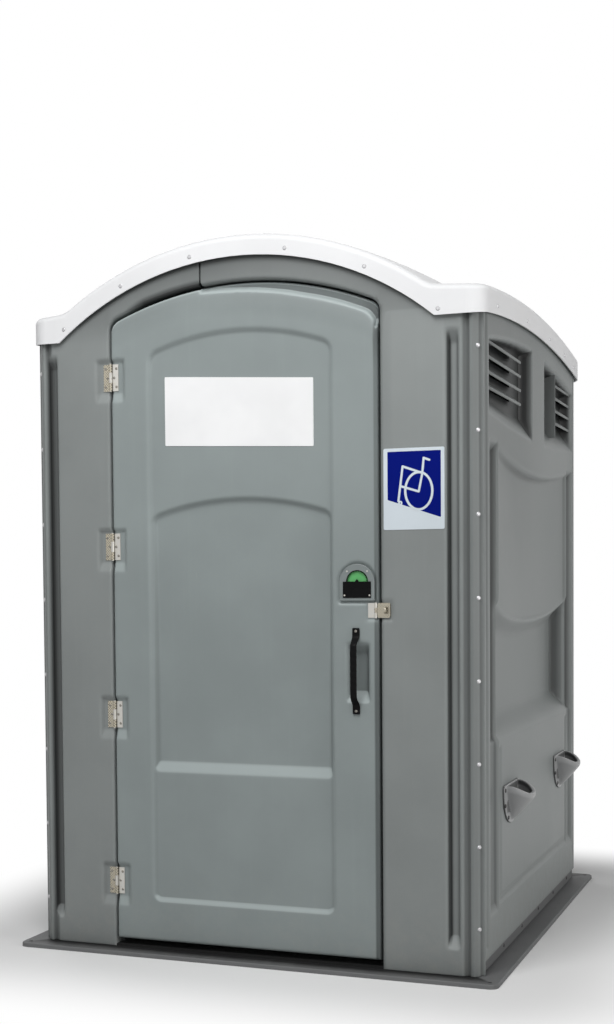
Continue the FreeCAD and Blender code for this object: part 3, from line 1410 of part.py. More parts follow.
def latch():
    """Bolt with a rack, the pinion that turns the indicator, and their housings."""
    teeth = 16
    module = s.gear_module
    dial_x = s.dial_place
    case_low, case_high = rack_foot - 8, dial_z + 21
    case_left, case_right = s.dial_place - 73, s.bolt_tip + 2
    case_back = door_rear + s.bolt_gauge + 4.5
    wall = 2.5
    case = box("LatchCaseBlock", (case_left, case_right), (door_rear, case_back), (case_low, case_high))
    tools = [
        box("LatchCaseRoom", (case_left + wall, case_right - wall), (door_rear - 1, case_back - wall),
            (rack_foot - s.bolt_play, case_high - wall)),
        box("LatchCaseMouth", (case_right - wall - 1, case_right + 1),
            (door_rear - 1, case_back - wall), (rack_foot - s.bolt_play, dial_z - module * 7 + s.bolt_play)),
        box("KnobSlot", (s.bolt_tip - 118, s.bolt_tip - 118 + 50), (case_back - wall - 1, case_back + 1),
            (rack_foot + 1.5, rack_foot + s.bolt_height - 1.5)),
        rod("ShaftEndHole", "Y", s.shaft_radius + s.pin_play, case_back - wall - 1, wall + 2,
            dial_x, 0, dial_z),
    ]
    node("latch_case", cut("LatchCase", case, tools))

    pitch = module * math.pi
    half_top, half_pitch, half_root = pitch * 0.11, pitch * 0.25, pitch * 0.39
    slack = s.gear_backlash / 2
    top = dial_z - module * (teeth / 2 - 0.9)
    line = dial_z - module * (teeth / 2)
    bolt_left = s.bolt_tip - 114
    outline = [(bolt_left, rack_foot), (s.bolt_tip - 6, rack_foot), (s.bolt_tip, rack_foot + 5),
               (s.bolt_tip, rack_root)]
    for number in range(2, -11, -1):
        middle = dial_x + pitch * (number + 0.5)
        outline += [
            (middle + half_root, rack_root),
            (middle + half_pitch - slack, line),
            (middle + half_top, top),
            (middle - half_top, top),
            (middle - half_pitch + slack, line),
            (middle - half_root, rack_root),
        ]
    outline.append((bolt_left, rack_root))
    bar_front = door_rear + 1
    bar = prism("BoltBar", "XZ", outline, bar_front, bar_front + s.bolt_gauge)
    knob_x = bolt_left + 14
    knob_z = rack_foot + s.bolt_height / 2
    neck = rod("BoltNeck", "Y", 5, bar_front + s.bolt_gauge, 14, knob_x, 0, knob_z)
    knob = rod("BoltKnob", "Y", 12, bar_front + s.bolt_gauge + 14, 12, knob_x, 0, knob_z, 10)
    node("latch_bolt", fuse("LatchBolt", [bar, neck, knob]))

    seat_y = front + s.bezel_seat
    disc_front = seat_y - s.disc_place
    disc_back = disc_front + s.disc_gauge
    node("indicator_dial", rod("IndicatorDial", "Y", s.dial_radius, disc_front, s.disc_gauge,
                               dial_x, 0, dial_z))
    shaft = rod("DialShaft", "Y", s.shaft_radius, disc_back, case_back - disc_back, dial_x, 0, dial_z)
    wheel = prism("DialWheel", "XZ", gear_outline(teeth, module, dial_x, dial_z, s.gear_backlash.value),
                  bar_front, bar_front + s.bolt_gauge)
    node("dial_pinion", fuse("DialPinion", [shaft, wheel]))

    bezel_front = seat_y - s.bezel_rise
    window = prism("Window", "XZ",
                   [(dial_x - s.window_radius, dial_z), (dial_x + s.window_radius, dial_z,
                                                        (dial_x, dial_z, s.window_radius)),
                    (dial_x, dial_z + s.window_radius, (dial_x, dial_z, s.window_radius))],
                   bezel_front - 1, seat_y)
    form = prism("BezelForm", "XZ", indicator_outline(0), bezel_front, seat_y)
    edge = bezel_front.value
    form = rounded("BezelRounded", form, 2, lambda e: edge_at(e, 1, edge))
    room = prism("BezelRoom", "XZ", indicator_outline(-s.bezel_wall), bezel_front + 2.5, seat_y + 1)
    node("latch_bezel", cut("LatchBezel", form, [room, window]))
    foot = dial_z - s.bezel_drop
    cover = box("IndicatorCover", (dial_x - 48, dial_x + 44), (bezel_front - 2, bezel_front),
                (foot + 9, dial_z))
    node("indicator_cover", cover)
    heads = [
        head(f"IndicatorRivet{number}", (dial_x - 3 + x, bezel_front - 2 * (z < 0), dial_z + z),
             (0, -1, 0), 3, 1.2, 2)
        for number, (x, z) in enumerate(((-40, -43), (42, -43), (-32, 32), (34, 32)))
    ]
    node("indicator_rivets", group("IndicatorRivets", heads))

    keeper_x = s.doorway_right + s.sheet
    keeper = box("KeeperPlateBlock", (keeper_x, keeper_x + s.keeper_gauge),
                 (door_rear - 4, front + s.reveal_depth - 2), (rack_foot - 16, dial_z + 12))
    node("keeper_plate", cut("KeeperPlate", keeper, [bolt_slot("KeeperSlot", keeper_x - 1,
                                                               keeper_x + s.keeper_gauge + 1)]))
    heads = [screw(f"KeeperScrew{number}", (keeper_x + s.keeper_gauge, door_rear + 6, z), (1, 0, 0), 3.5)
             for number, z in enumerate((rack_foot - 9, dial_z + 5))]
    node("keeper_screws", group("KeeperScrews", heads))


def hasp():
    """Hinged strap on the door over a staple on the jamb, for a padlock."""
    seat_y = front + s.hasp_seat
    axis_y = seat_y - s.hasp_stand
    middle = s.hasp_height
    half = s.hasp_width / 2
    third = half / 3
    gauge = s.hinge_gauge
    r = s.hasp_knuckle
    base = [box("HaspPlate", (s.hasp_axis - 26, s.hasp_axis), (seat_y - gauge, seat_y),
                (middle - half, middle + half))]
    ends = ((middle - half, middle - third), (middle + third, middle + half))
    for number, (low, high) in enumerate(ends):
        base.append(rod(f"HaspKnuckle{number}", "Z", r, low, high - low, s.hasp_axis, axis_y, 0))
    bore = rod("HaspBore", "Z", s.hasp_pin, middle - half - 1, s.hasp_width + 2, s.hasp_axis, axis_y, 0)
    notch = box("HaspNotch", (s.hasp_axis - r - s.hinge_slack, s.hasp_axis + 1),
                (seat_y - gauge - 1, seat_y + 1), (middle - third, middle + third))
    node("hasp_base", cut("HaspBase", fuse("HaspBaseForm", base), [bore, notch]))
    pin = rod("HaspPinShaft", "Z", s.hasp_pin, middle - half, s.hasp_width, s.hasp_axis, axis_y, 0)
    caps = [rod(f"HaspPinCap{number}", "Z", s.hasp_pin + 1.2, start, 1.5, s.hasp_axis, axis_y, 0)
            for number, start in enumerate((middle - half - 1.5, middle + half))]
    node("hasp_pin", fuse("HaspPin", [pin] + caps))
    reach = (middle - third + s.hinge_slack, middle + third - s.hinge_slack)
    strap_y = (axis_y - 1, axis_y - 1 + gauge)
    strap_low, strap_high = middle - half, middle + half
    blade = prism("StrapBlade", "XZ",
                  rounded_rectangle(s.hasp_axis + r + 1, s.hasp_axis + 47, strap_low, strap_high, 6),
                  *strap_y)
    neck = box("StrapNeck", (s.hasp_axis, s.hasp_axis + r + 8), strap_y, reach)
    barrel = rod("StrapBarrel", "Z", r, reach[0], reach[1] - reach[0], s.hasp_axis, axis_y, 0)
    strap_bore = rod("StrapBore", "Z", s.hasp_pin + s.pin_play, middle - half, s.hasp_width,
                     s.hasp_axis, axis_y, 0)
    slot = box("StrapSlot", (s.hasp_axis + 29.5, s.hasp_axis + 41.5), (axis_y - 4, axis_y + 4),
               (middle - 11, middle + 11))
    node("hasp_strap", cut("HaspStrap", fuse("StrapForm", [blade, neck, barrel]), [strap_bore, slot]))
    staple_x = s.hasp_axis + 34
    plate = box("StaplePlate", (s.doorway_right + 8, s.doorway_right + 31), (seat_y - gauge, seat_y),
                (middle - 19, middle + 19))
    loop = rod("StapleRound", "X", 9, staple_x - 2.5, 5, 0, seat_y - 12, middle)
    leg = box("StapleLeg", (staple_x - 2.5, staple_x + 2.5), (seat_y - 12, seat_y - gauge),
              (middle - 9, middle + 9))
    eye = rod("StapleEye", "X", 5, staple_x - 4, 8, 0, seat_y - 12, middle)
    node("hasp_staple", cut("HaspStaple", fuse("StapleForm", [plate, loop, leg]), [eye]))


def bent_tube(name, start, end, wall, stand):
    """A grab rail of the right wall: tube along Y between two flanges."""
    r, bend, z = s.rail_radius, s.rail_bend, s.rail_height
    axis_x = wall - stand
    turn_x = axis_x + bend
    solids = [rod(name + "Tube", "Y", r, start + bend, end - start - bend * 2, axis_x, 0, z)]
    for number, (y, first) in enumerate(((start, 180), (end, 90))):
        centre_y = y + bend if number == 0 else y - bend
        ring = doc.addObject("Part::Torus", f"{name}Bend{number}")
        bind(ring, "Radius1", bend)
        bind(ring, "Radius2", r)
        ring.Angle3 = 90
        ring.Placement = FreeCAD.Placement(FreeCAD.Vector(),
                                           FreeCAD.Rotation(FreeCAD.Vector(0, 0, 1), first))
        move_to(ring, turn_x, centre_y, z)
        solids.append(ring)
        solids.append(rod(f"{name}Leg{number}", "X", r, turn_x, wall - turn_x, 0, y, z))
        solids.append(rod(f"{name}Flange{number}", "X", s.rail_flange, wall - 5, 5, 0, y, z))
    return fuse(name, solids)


def grab_rails():
    wall = side - s.shelf_depth - s.sheet
    start, end = s.side_rail_front, s.side_rail_rear
    right = bent_tube("RailRight", start, end, wall, s.rail_stand)
    node("side_grab_rail_right", right)
    node("side_grab_rail_left", mirrored("RailLeft", right))
    rear_wall_face = rear - s.rear_field_depth - s.sheet
    left, right_end = s.rear_rail_left, s.rear_rail_right
    back = bent_tube("RailRear", left, right_end, rear_wall_face, s.rail_stand)
    back.Placement = FreeCAD.Placement(FreeCAD.Vector(), FreeCAD.Rotation(FreeCAD.Vector(0, 0, 1), 90))
    turned = mirrored("RailRearTurned", back)
    node("rear_grab_rail", turned)
    heads = []
    ring = s.rail_flange - 8
    for number, (across, along) in enumerate(((0.0, 1.0), (0.866, -0.5), (-0.866, -0.5))):
        z = s.rail_height + ring * along
        for y, word in ((start, "A"), (end, "B")):
            for sign in (-1, 1):
                place = ((wall - 5) * sign, y + ring * across, z)
                heads.append(screw(f"RailScrew{number}{word}{'LR'[sign > 0]}", place, (-sign, 0, 0), 4))
        for x, word in ((left, "C"), (right_end, "D")):
            heads.append(screw(f"RailScrew{number}{word}", (x + ring * across, rear_wall_face - 5, z),
                               (0, -1, 0), 4))
    node("rail_screws", group("RailScrews", heads))


def toilet():
    """Waste tank, its deck with the opening, the hinged seat and lid, and the vent pipe."""
    left, right = s.tank_left, s.tank_left + s.tank_width
    near, far = s.tank_front, s.tank_front + s.tank_depth
    wall, top, low = s.tank_wall, s.tank_top, s.floor_height
    block = prism("TankBlock", "YZ", [(near + 40, low), (far, low), (far, top), (near, top)], left, right)
    outer = rounded("TankRounded", block, 12, lambda e: edge_middle(e).z > low.value + 1)
    room = prism("TankRoom", "YZ", [(near + 40 + wall, low + wall), (far - wall, low + wall),
                                    (far - wall, top - wall), (near + wall, top - wall)],
                 left + wall, right - wall)
    bowl_near = near + 45
    half = s.bowl_width / 2
    opening = prism("TankOpening", "XY",
                    rounded_rectangle(toilet_x - half, toilet_x + half, bowl_near,
                                      bowl_near + s.bowl_length, s.bowl_width / 2 - 8),
                    top - wall - 1, top + 1)
    vent = rod("TankVent", "Z", s.pipe_radius - s.pipe_wall, top - wall - 1, wall + 2,
               s.pipe_place_x, s.pipe_place_y, 0)
    slab = box("DeckSlab", (left - 1, right + 1), (near - 1, far + 1), (top - wall, top + 1))
    node("waste_tank", cut("WasteTank", outer, [room, slab]))
    node("tank_deck", cut("TankDeck", common("DeckForm", outer, slab), [opening, vent]))

    axis_y, axis_z = seat_axis_y, seat_axis_z
    pin = s.seat_pin
    spots = (-95, 75)
    blocks = []
    for number, x in enumerate(spots):
        blocks.append(prism(f"SeatPost{number}", "YZ",
                            [(axis_y - 18, top), (axis_y + 18, top), (axis_y + 10, axis_z + 12),
                             (axis_y - 10, axis_z + 12)], toilet_x + x, toilet_x + x + 20))
    blocks.append(box("SeatFoot", (toilet_x - 95, toilet_x + 95), (axis_y - 18, axis_y + 18),
                      (top, top + 5)))
    blocks.append(rod("SeatPin", "X", pin, toilet_x - 100, 200, 0, axis_y, axis_z))
    node("seat_hinge", fuse("SeatHinge", blocks))

    def lugs(name, places, reach_y, z_range, centre_y, centre_z):
        store = []
        for number, x in enumerate(places):
            x_range = (toilet_x + x, toilet_x + x + 18)
            store.append(rod(f"{name}Lug{number}", "X", pin + 6, x_range[0], 18, 0, centre_y, centre_z))
            store.append(box(f"{name}Arm{number}", x_range, (reach_y, centre_y), z_range))
        return store

    seat_low = top + s.seat_lift
    seat_high = seat_low + s.seat_gauge
    seat_far = axis_y - 22
    seat_near = seat_far - s.seat_length
    half_seat = s.seat_width / 2
    ring_outer = prism("SeatForm", "XY",
                       rounded_rectangle(toilet_x - half_seat, toilet_x + half_seat, seat_near,
                                         seat_far, half_seat - 25), seat_low, seat_high)
    ring_round = rounded("SeatRound", ring_outer, 7,
                         lambda e: abs(edge_middle(e).z - seat_high.value) < 0.01)
    hole = prism("SeatHole", "XY",
                 rounded_rectangle(toilet_x - half, toilet_x + half, bowl_near,
                                   bowl_near + s.bowl_length, s.bowl_width / 2 - 8),
                 seat_low - 1, seat_high + 1)
    solids = [ring_round] + lugs("Seat", (-74, 56), seat_far - 12,
                                 (axis_z - 9, seat_high), axis_y, axis_z)
    for number, (x, y) in enumerate(((-150, seat_near + 90), (150, seat_near + 90),
                                     (-150, seat_far - 90), (150, seat_far - 90))):
        solids.append(rod(f"SeatBumper{number}", "Z", 9, top + 0.3, seat_low - top, toilet_x + x, y, 0))
    bore = rod("SeatBore", "X", pin + s.pin_play, toilet_x - 100, 200, 0, axis_y, axis_z)
    node("toilet_seat", cut("ToiletSeat", fuse("SeatSolids", solids), [hole, bore]))

    lid_low = seat_high - axis_z + 2
    lid_form = prism("LidForm", "XY",
                     rounded_rectangle(toilet_x - half_seat, toilet_x + half_seat,
                                       seat_near - axis_y, seat_far - axis_y, half_seat - 25),
                     lid_low, lid_low + s.lid_gauge)
    lid_top = (lid_low + s.lid_gauge).value
    lid_round = rounded("LidRound", lid_form, 4, lambda e: abs(edge_middle(e).z - lid_top) < 0.01)
    zero = as_size(0)
    solids = [lid_round] + lugs("Lid", (-52, 34), seat_far - axis_y - 12, (lid_low, lid_low + 8), zero, zero)
    lid_bore = rod("LidBore", "X", pin + s.pin_play, toilet_x - 100, 200, 0, zero, zero)
    lid = cut("ToiletLid", fuse("LidSolids", solids), [lid_bore])
    lid.Placement = FreeCAD.Placement(FreeCAD.Vector(), FreeCAD.Rotation(FreeCAD.Vector(-1, 0, 0), 96))
    bind(lid, "Placement.Rotation.Angle", s.seat_lean)
    node("toilet_lid", move_to(lid, zero, axis_y, axis_z))

    x, y = s.pipe_place_x, s.pipe_place_y
    tube = rod("PipeTube", "Z", s.pipe_radius, top, s.pipe_top - top, x, y, 0)
    collar = rod("PipeCollar", "Z", s.pipe_radius + 7, top, 4, x, y, 0)
    core = rod("PipeCore", "Z", s.pipe_radius - s.pipe_wall, top - 1, s.pipe_top - top + 2, x, y, 0)
    node("vent_pipe", cut("VentPipe", fuse("PipeForm", [tube, collar]), [core]))
    rim = s.pipe_top
    sleeve = cut("CapSleeve", rod("CapSleeveOuter", "Z", s.pipe_radius + 4, rim - 35, 35, x, y, 0),
                 [rod("CapSleeveInner", "Z", s.pipe_radius, rim - 36, 37, x, y, 0)])
    roof_part = rod("CapTop", "Z", s.pipe_radius + 24, rim + 24, 18, x, y, 0, s.pipe_radius - 14)
    reach = s.pipe_radius + 4
    bars = [box("CapRibX", (x - reach, x + reach), (y - 2, y + 2), (rim, rim + 24)),
            box("CapRibY", (x - 2, x + 2), (y - reach, y + reach), (rim, rim + 24))]
    node("vent_cap", fuse("VentCap", [sleeve, roof_part] + bars))


def paper_holder():
    wall = -side + s.sheet
    middle, height = s.paper_place, s.paper_height
    plate = box("PaperPlate", (wall, wall + 6), (middle - 72, middle + 72), (height - 35, height + 35))
    solids = [plate]
    for number, y in enumerate((middle - 70, middle + 64)):
        solids.append(prism(f"PaperArm{number}", "XZ",
                            [(wall + 5, height - 28), (wall + 112, height - 12),
                             (wall + 112, height + 12), (wall + 5, height + 28)], y, y + 6))
    solids.append(rod("PaperRod", "Y", 8, middle - 66, 132, wall + 96, 0, height))
    node("paper_holder", fuse("PaperHolder", solids))


def check_and_export():
    doc.recompute()
    for item in doc.Objects:
        if "Invalid" in item.State or "Error" in item.State:
            raise RuntimeError(f"{item.Name} failed: {item.State}")
    os.makedirs("parts", exist_ok=True)
    for name, item in nodes.items():
        shape = item.Shape
        if shape.isNull() or not shape.isValid():
            raise RuntimeError(f"{name} has no valid shape")
        shape.exportStep(f"parts/{name}.step")
        print(name, len(shape.Solids), "solids", round(shape.Volume / 1000), "cm3")


base_pan()
front_panels()
side_walls()
rear_wall()
roof()
eave_strips()
rivets()
lifting_cups()
hinges()
door()
handles()
latch()
hasp()
grab_rails()
toilet()
paper_holder()
check_and_export()
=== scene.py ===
"""Portable toilet cabin: moulded skins, fittings, signs, finishes and a plain studio."""

import math
from math import cos, pi, sin

import bmesh
import bpy
import numpy as np
from bpy.props import BoolProperty, FloatProperty, FloatVectorProperty, PointerProperty
from mathutils import Matrix, Vector

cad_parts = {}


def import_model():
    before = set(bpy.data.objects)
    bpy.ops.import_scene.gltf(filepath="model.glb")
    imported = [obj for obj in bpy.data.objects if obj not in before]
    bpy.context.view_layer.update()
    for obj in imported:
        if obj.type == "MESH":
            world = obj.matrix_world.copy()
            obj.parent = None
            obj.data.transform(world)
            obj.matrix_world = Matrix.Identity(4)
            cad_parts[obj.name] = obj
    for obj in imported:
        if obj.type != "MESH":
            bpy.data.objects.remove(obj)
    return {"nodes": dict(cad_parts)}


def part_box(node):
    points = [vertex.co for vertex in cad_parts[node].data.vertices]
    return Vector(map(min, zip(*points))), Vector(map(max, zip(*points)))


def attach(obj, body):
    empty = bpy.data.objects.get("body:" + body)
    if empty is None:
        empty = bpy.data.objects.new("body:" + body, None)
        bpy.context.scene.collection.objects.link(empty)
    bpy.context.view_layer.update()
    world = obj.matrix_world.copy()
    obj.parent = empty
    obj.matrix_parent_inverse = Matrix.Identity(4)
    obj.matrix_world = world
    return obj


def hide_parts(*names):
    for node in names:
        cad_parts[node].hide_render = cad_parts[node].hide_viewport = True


bl_info = {
    "name": "Portable Toilet Cabin",
    "version": (1, 0, 0),
    "blender": (4, 5, 0),
    "location": "View3D > Sidebar > Cabin",
    "description": "Builds the skins, fittings and finishes of a portable toilet cabin",
    "category": "Object",
}

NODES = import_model()["nodes"]
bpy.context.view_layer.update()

# Faces and outlines, in metres.
FRONT, REAR, SIDE = -0.816, 0.816, 0.768
SKIRT_FOOT = 0.060
ARCH_MIDDLE = -0.022
EAVE_CENTRE, EAVE_RADIUS = 1.257, 1.010
WALL_HEAD = 2.108
DOORWAY = (-0.489, 0.447)
DOORWAY_CREST = 2.193
DOORWAY_ARCH = 1.130
DOORWAY_CORNER = 0.048
PANEL_FOOT = 0.0172
DOOR_GAP, DOOR_DROP = 0.006, 0.004
DOOR_FOOT, DOOR_RIM, DOOR_BACK = 0.042, 0.009, 0.0358
JAMB_ROUND = 0.009
LINING_BACK = 0.062
BOLT_SLOT = ((1.197, 1.228), (0.0395, 0.0505))
SEAM, SEAM_HALF = -0.158, 0.0055
CORNER_FLAT, CORNER_SLANT, CORNER_ROUND = 0.740, 0.028, 0.006
REAR_FLAT, REAR_ROUND = 0.708, 0.060
SIDE_ENDS, SIDE_HEAD, SIDE_FIELD_HALF = (-0.782, 0.749), 2.106, 0.586
HINGES = [0.235 + 0.558 * k for k in range(4)]
HINGE_X = -0.4865
DIAL = (0.373, 1.229)
VENT_EDGES = (0.065, 0.160)
VENT_BLADES = ((-0.7155, -0.205), (0.400, 0.7155))
BLADE_FIRST, BLADE_STEP, BLADE_COUNT = 1.826, 0.0475, 4
BLADE_NOSE, BLADE_BACK = 0.0125, 0.0475
SLOT_HEAD, SLOT_HIGH, SLOT_END = 1.978, 0.014, 0.014

# Recesses: range along, range up, depth, side draft, ramp at the foot, ramp at the head.
HINGE_RECESSES = [((HINGE_X - 0.052, HINGE_X + 0.052), (height - 0.086, height + 0.060),
                   0.010, 0.006, 0.038, 0.008) for height in HINGES]
LATCH_RECESS = ((0.398, 0.489), (1.101, 1.173), 0.004, 0.004, 0.012, 0.004)
GRIP_RECESS = ((0.334, 0.409), (0.850, 1.040), 0.026, 0.012, 0.034, 0.034)
CHANNELS = [((low, low + 0.039), (0.095, 1.994), 0.024, 0.006, 0.040, 0.040)
            for low in (-0.726, 0.657)]
SIDE_GROOVES = (((0.601, 0.710), (0.176, 0.742), 0.012, 0.008, 0.030, 0.004),
                ((0.601, 0.710), (0.712, 1.664), 0.026, 0.008, 0.016, 0.030))
REAR_FIELDS = [((low, high), (0.300, 1.960), 0.014, 0.012, 0.030, 0.030)
               for low, high in ((-0.600, -0.062), (0.062, 0.600))]
# Folds beside the front corners: near edge, far edge, depth.
CORNER_FOLDS = ((0.708, 0.730, 0.007), (0.7195, 0.7285, 0.014), (0.7665, 0.7745, 0.012))
# Arched fields of the door: left, right, foot, crest, radius of the arch and of the corners.
DOOR_PANEL = (-0.350, 0.292, 0.176, 2.041, 0.880, 0.030)
DOOR_FIELD = (-0.342, 0.284, 0.604, 1.503, 0.980, 0.026)


# ---------------------------------------------------------------- settings

def tone(name, text, colour):
    return FloatVectorProperty(name=name, description=text, default=colour, size=3,
                               subtype="COLOR", min=0.0, max=1.0)


def length(name, text, default, low, high):
    return FloatProperty(name=name, description=text, default=default, min=low, max=high,
                         unit="LENGTH")


class CabinColours(bpy.types.PropertyGroup):
    wall: tone("Walls", "Moulded side, rear and front panels", (0.234, 0.252, 0.249))
    door: tone("Door", "Moulded outer leaf of the door", (0.258, 0.293, 0.292))
    base: tone("Base pan", "Moulded ground pan", (0.095, 0.097, 0.098))
    roof: tone("Roof", "Thin pale roof sheet", (0.80, 0.805, 0.815))
    cup: tone("Lifting cups", "Bolted lifting cups", (0.30, 0.305, 0.308))
    tank: tone("Tank and seat", "Waste tank, seat and lid", (0.07, 0.078, 0.085))
    black: tone("Black plastic", "Handle, latch and holder", (0.006, 0.006, 0.0065))
    zinc: tone("Zinc", "Hinges, screws and hasp", (0.50, 0.49, 0.46))
    sign_blue: tone("Sign field", "Dark field of the access sign", (0.002, 0.008, 0.18))
    sign_pale: tone("Sign band", "Pale band of the access sign", (0.68, 0.75, 0.80))
    indicator: tone("Vacant colour", "Indicator disc where it shows free", (0.11, 0.46, 0.14))


class CabinSizes(bpy.types.PropertyGroup):
    soft_edge: length("Moulded edge", "Softness of moulded edges", 0.0028, 0.001, 0.02)
    mesh_step: length("Mesh step", "Spacing of the front skin's rows", 0.0052, 0.003, 0.03)
    bevel: length("Small bevel", "Rounding of the carried-over pieces", 0.0011, 0.0, 0.01)
    louvres: BoolProperty(name="Louvre blades", description="Put blades in the vent pockets",
                          default=True)


def sizes():
    return bpy.context.scene.cabin_sizes


# ---------------------------------------------------------------- slopes and outlines

def ramp(rise, run=1.0):
    """Share of a slope that has been climbed, from zero to one."""
    return np.clip(rise / run, 0, 1)


def eased(share):
    return share * share * (3 - 2 * share)


def dome(radius, off):
    """Height of a circle over its centre, a distance off its middle."""
    return np.sqrt(np.maximum(radius ** 2 - off ** 2, 0))


def tub(u, v, u_range, v_range, depth, draft, low_ramp, high_ramp):
    """Depth of a recess with its own ramp at the foot and the head."""
    sides = np.minimum((u - u_range[0]) / draft, (u_range[1] - u) / draft)
    ends = np.minimum((v - v_range[0]) / low_ramp, (v_range[1] - v) / high_ramp)
    return depth * ramp(np.minimum(sides, ends))


def tubs(u, v, recesses):
    return np.maximum.reduce([tub(u, v, *recess) for recess in recesses])


def arched(u, v, left, right, foot, crest, radius, corner):
    """Signed distance to an outline with upright sides and an arched top."""
    top = np.hypot(u - (left + right) / 2, np.maximum(v - (crest - radius), 0)) - radius
    a = np.maximum(left - u, u - right) + corner
    b = np.maximum(top, foot - v) + corner
    outside = np.hypot(np.maximum(a, 0), np.maximum(b, 0))
    return outside + np.minimum(np.maximum(a, b), 0) - corner


def doorway_top(x, grow, drop=0.0):
    """Upper edge of the doorway outline, grown outwards, and its outward direction."""
    radius, corner = DOORWAY_ARCH + grow, DOORWAY_CORNER + grow
    centre = DOORWAY_CREST - DOORWAY_ARCH - drop
    x = np.asarray(x, float)
    z = centre + dome(radius, x - ARCH_MIDDLE)
    way = np.stack([(x - ARCH_MIDDLE) / radius, (z - centre) / radius], axis=-1)
    for edge, sign in ((DOORWAY[0] - grow, 1), (DOORWAY[1] + grow, -1)):
        corner_x = edge + corner * sign
        run = radius - corner
        corner_z = centre + dome(run, corner_x - ARCH_MIDDLE)
        touch = ARCH_MIDDLE + (corner_x - ARCH_MIDDLE) * radius / run
        near = (x - touch) * sign < 0
        off = np.clip((x - corner_x) / corner, -1, 1)
        rise = dome(1, off)
        z = np.where(near, corner_z + corner * rise, z)
        way[..., 0] = np.where(near, off, way[..., 0])
        way[..., 1] = np.where(near, rise, way[..., 1])
    return z, way


def spread(low, high, step):
    return np.linspace(low, high, max(2, int(round((high - low) / step)) + 1))


def doorway_stations(grow, step):
    """Columns over the doorway, close together where the top corners turn."""
    left, right = DOORWAY[0] - grow, DOORWAY[1] + grow
    corner = DOORWAY_CORNER + grow
    turns = corner * (1 - np.cos(np.linspace(0, pi / 2, 11)))
    middle = spread(left + corner, right - corner, step)[1:-1]
    return np.concatenate([left + turns, middle, right - turns[::-1]])


def panel_top(x):
    """Upper edge of the end walls behind the roof apron."""
    return np.maximum(WALL_HEAD, EAVE_CENTRE + dome(EAVE_RADIUS + 0.033, x - ARCH_MIDDLE))


def upright(columns, low, high, share):
    """Grid over columns, each cut at the same shares between a low and a high edge."""
    low = np.broadcast_to(low, columns.shape)[:, None]
    u = np.repeat(columns[:, None], len(share), axis=1)
    return np.stack([u, low + (high[:, None] - low) * share])


# ---------------------------------------------------------------- relief of the faces

def dial_recess(x, z):
    """Signed distance to the round-headed recess of the indicator."""
    middle_x, middle_z, foot, radius = 0.370, DIAL[1] - 0.002, 1.159, 0.064
    x, z = x - middle_x, z - middle_z
    return np.where(z > 0, np.hypot(x, z) - radius,
                    np.maximum(np.abs(x) - radius, foot - middle_z - z))


def door_face_top(x):
    """Upper edge of the door's face, inside its rounded rim and its side flange."""
    right = x > SEAM
    rim = np.where(right, 0.020 + 0.022 * ramp(x - SEAM, 0.36) ** 0.7, 0.012)
    centre = DOORWAY_CREST - DOORWAY_ARCH - np.where(right, 0.0, DOOR_DROP)
    top = centre + dome(DOORWAY_ARCH - rim, x - ARCH_MIDDLE)
    corner_x, corner = 0.396, 0.038
    return np.where(x > corner_x, top - corner + dome(corner, x - corner_x), top)


def door_depth(x, z):
    """Relief of the door: recesses, two stepped fields and the drop to its rim."""
    depth = tubs(x, z, HINGE_RECESSES + [LATCH_RECESS, GRIP_RECESS])
    depth = np.maximum(depth, 0.009 * ramp(-arched(x, z, *DOOR_PANEL), 0.011))
    field = arched(x, z, *DOOR_FIELD)
    ledge = np.minimum(ramp(z - DOOR_FIELD[2], 0.038), ramp(-field, 0.009))
    depth = np.maximum(depth, np.where(field < 0, 0.009 + 0.015 * ledge, 0))
    top = door_face_top(x)
    depth = depth + 0.006 * ramp(1 - (top - z) / 0.055) ** 2
    face = np.where(x > SEAM, z - top, -1.0)
    depth = np.where(face > 0, 0.019 * ramp(face, 0.004), depth)
    return np.maximum(depth, 0.007 * ramp(-dial_recess(x, z), 0.005))


def panel_depth(x, z):
    """Relief of the front panels: recesses, upright channels and corner folds."""
    depth = tubs(x, z, HINGE_RECESSES + [LATCH_RECESS] + CHANNELS)
    across = np.abs(x)
    for low, high, sink in CORNER_FOLDS:
        fold = sink * ramp(np.minimum(across - low, high - across), 0.003)
        depth = np.maximum(depth, fold)
    return depth


def door_painted_shading(x, z):
    """Painted shade beside and above the door's face, in the grip recess, round the dial and
    under its top edge, less a painted highlight over the door's middle and upper part.
    """
    top = door_face_top(x)
    side = ramp(x - 0.4235, 0.004) * 0.9
    over = ramp(z - top + 0.0015, 0.003) * (x > SEAM)
    over = over * (0.62 + 0.2 * ramp(x - 0.385, 0.03))
    grip = tub(x, z, (0.338, 0.408), (0.872, 1.036), 0.42, 0.006, 0.01, 0.01)
    dial = ramp(1 - np.abs(dial_recess(x, z)) / 0.005) * (z > 1.175) * 0.45
    brow = ramp(1 - (top - z) / 0.10) * 0.30
    # Painted highlight over the door's middle and upper part.
    bright = ramp(z - 0.90, 0.50) * ramp(1.98 - z, 0.10) * 0.30
    return np.maximum.reduce([side, over, grip, dial, brow]) - bright


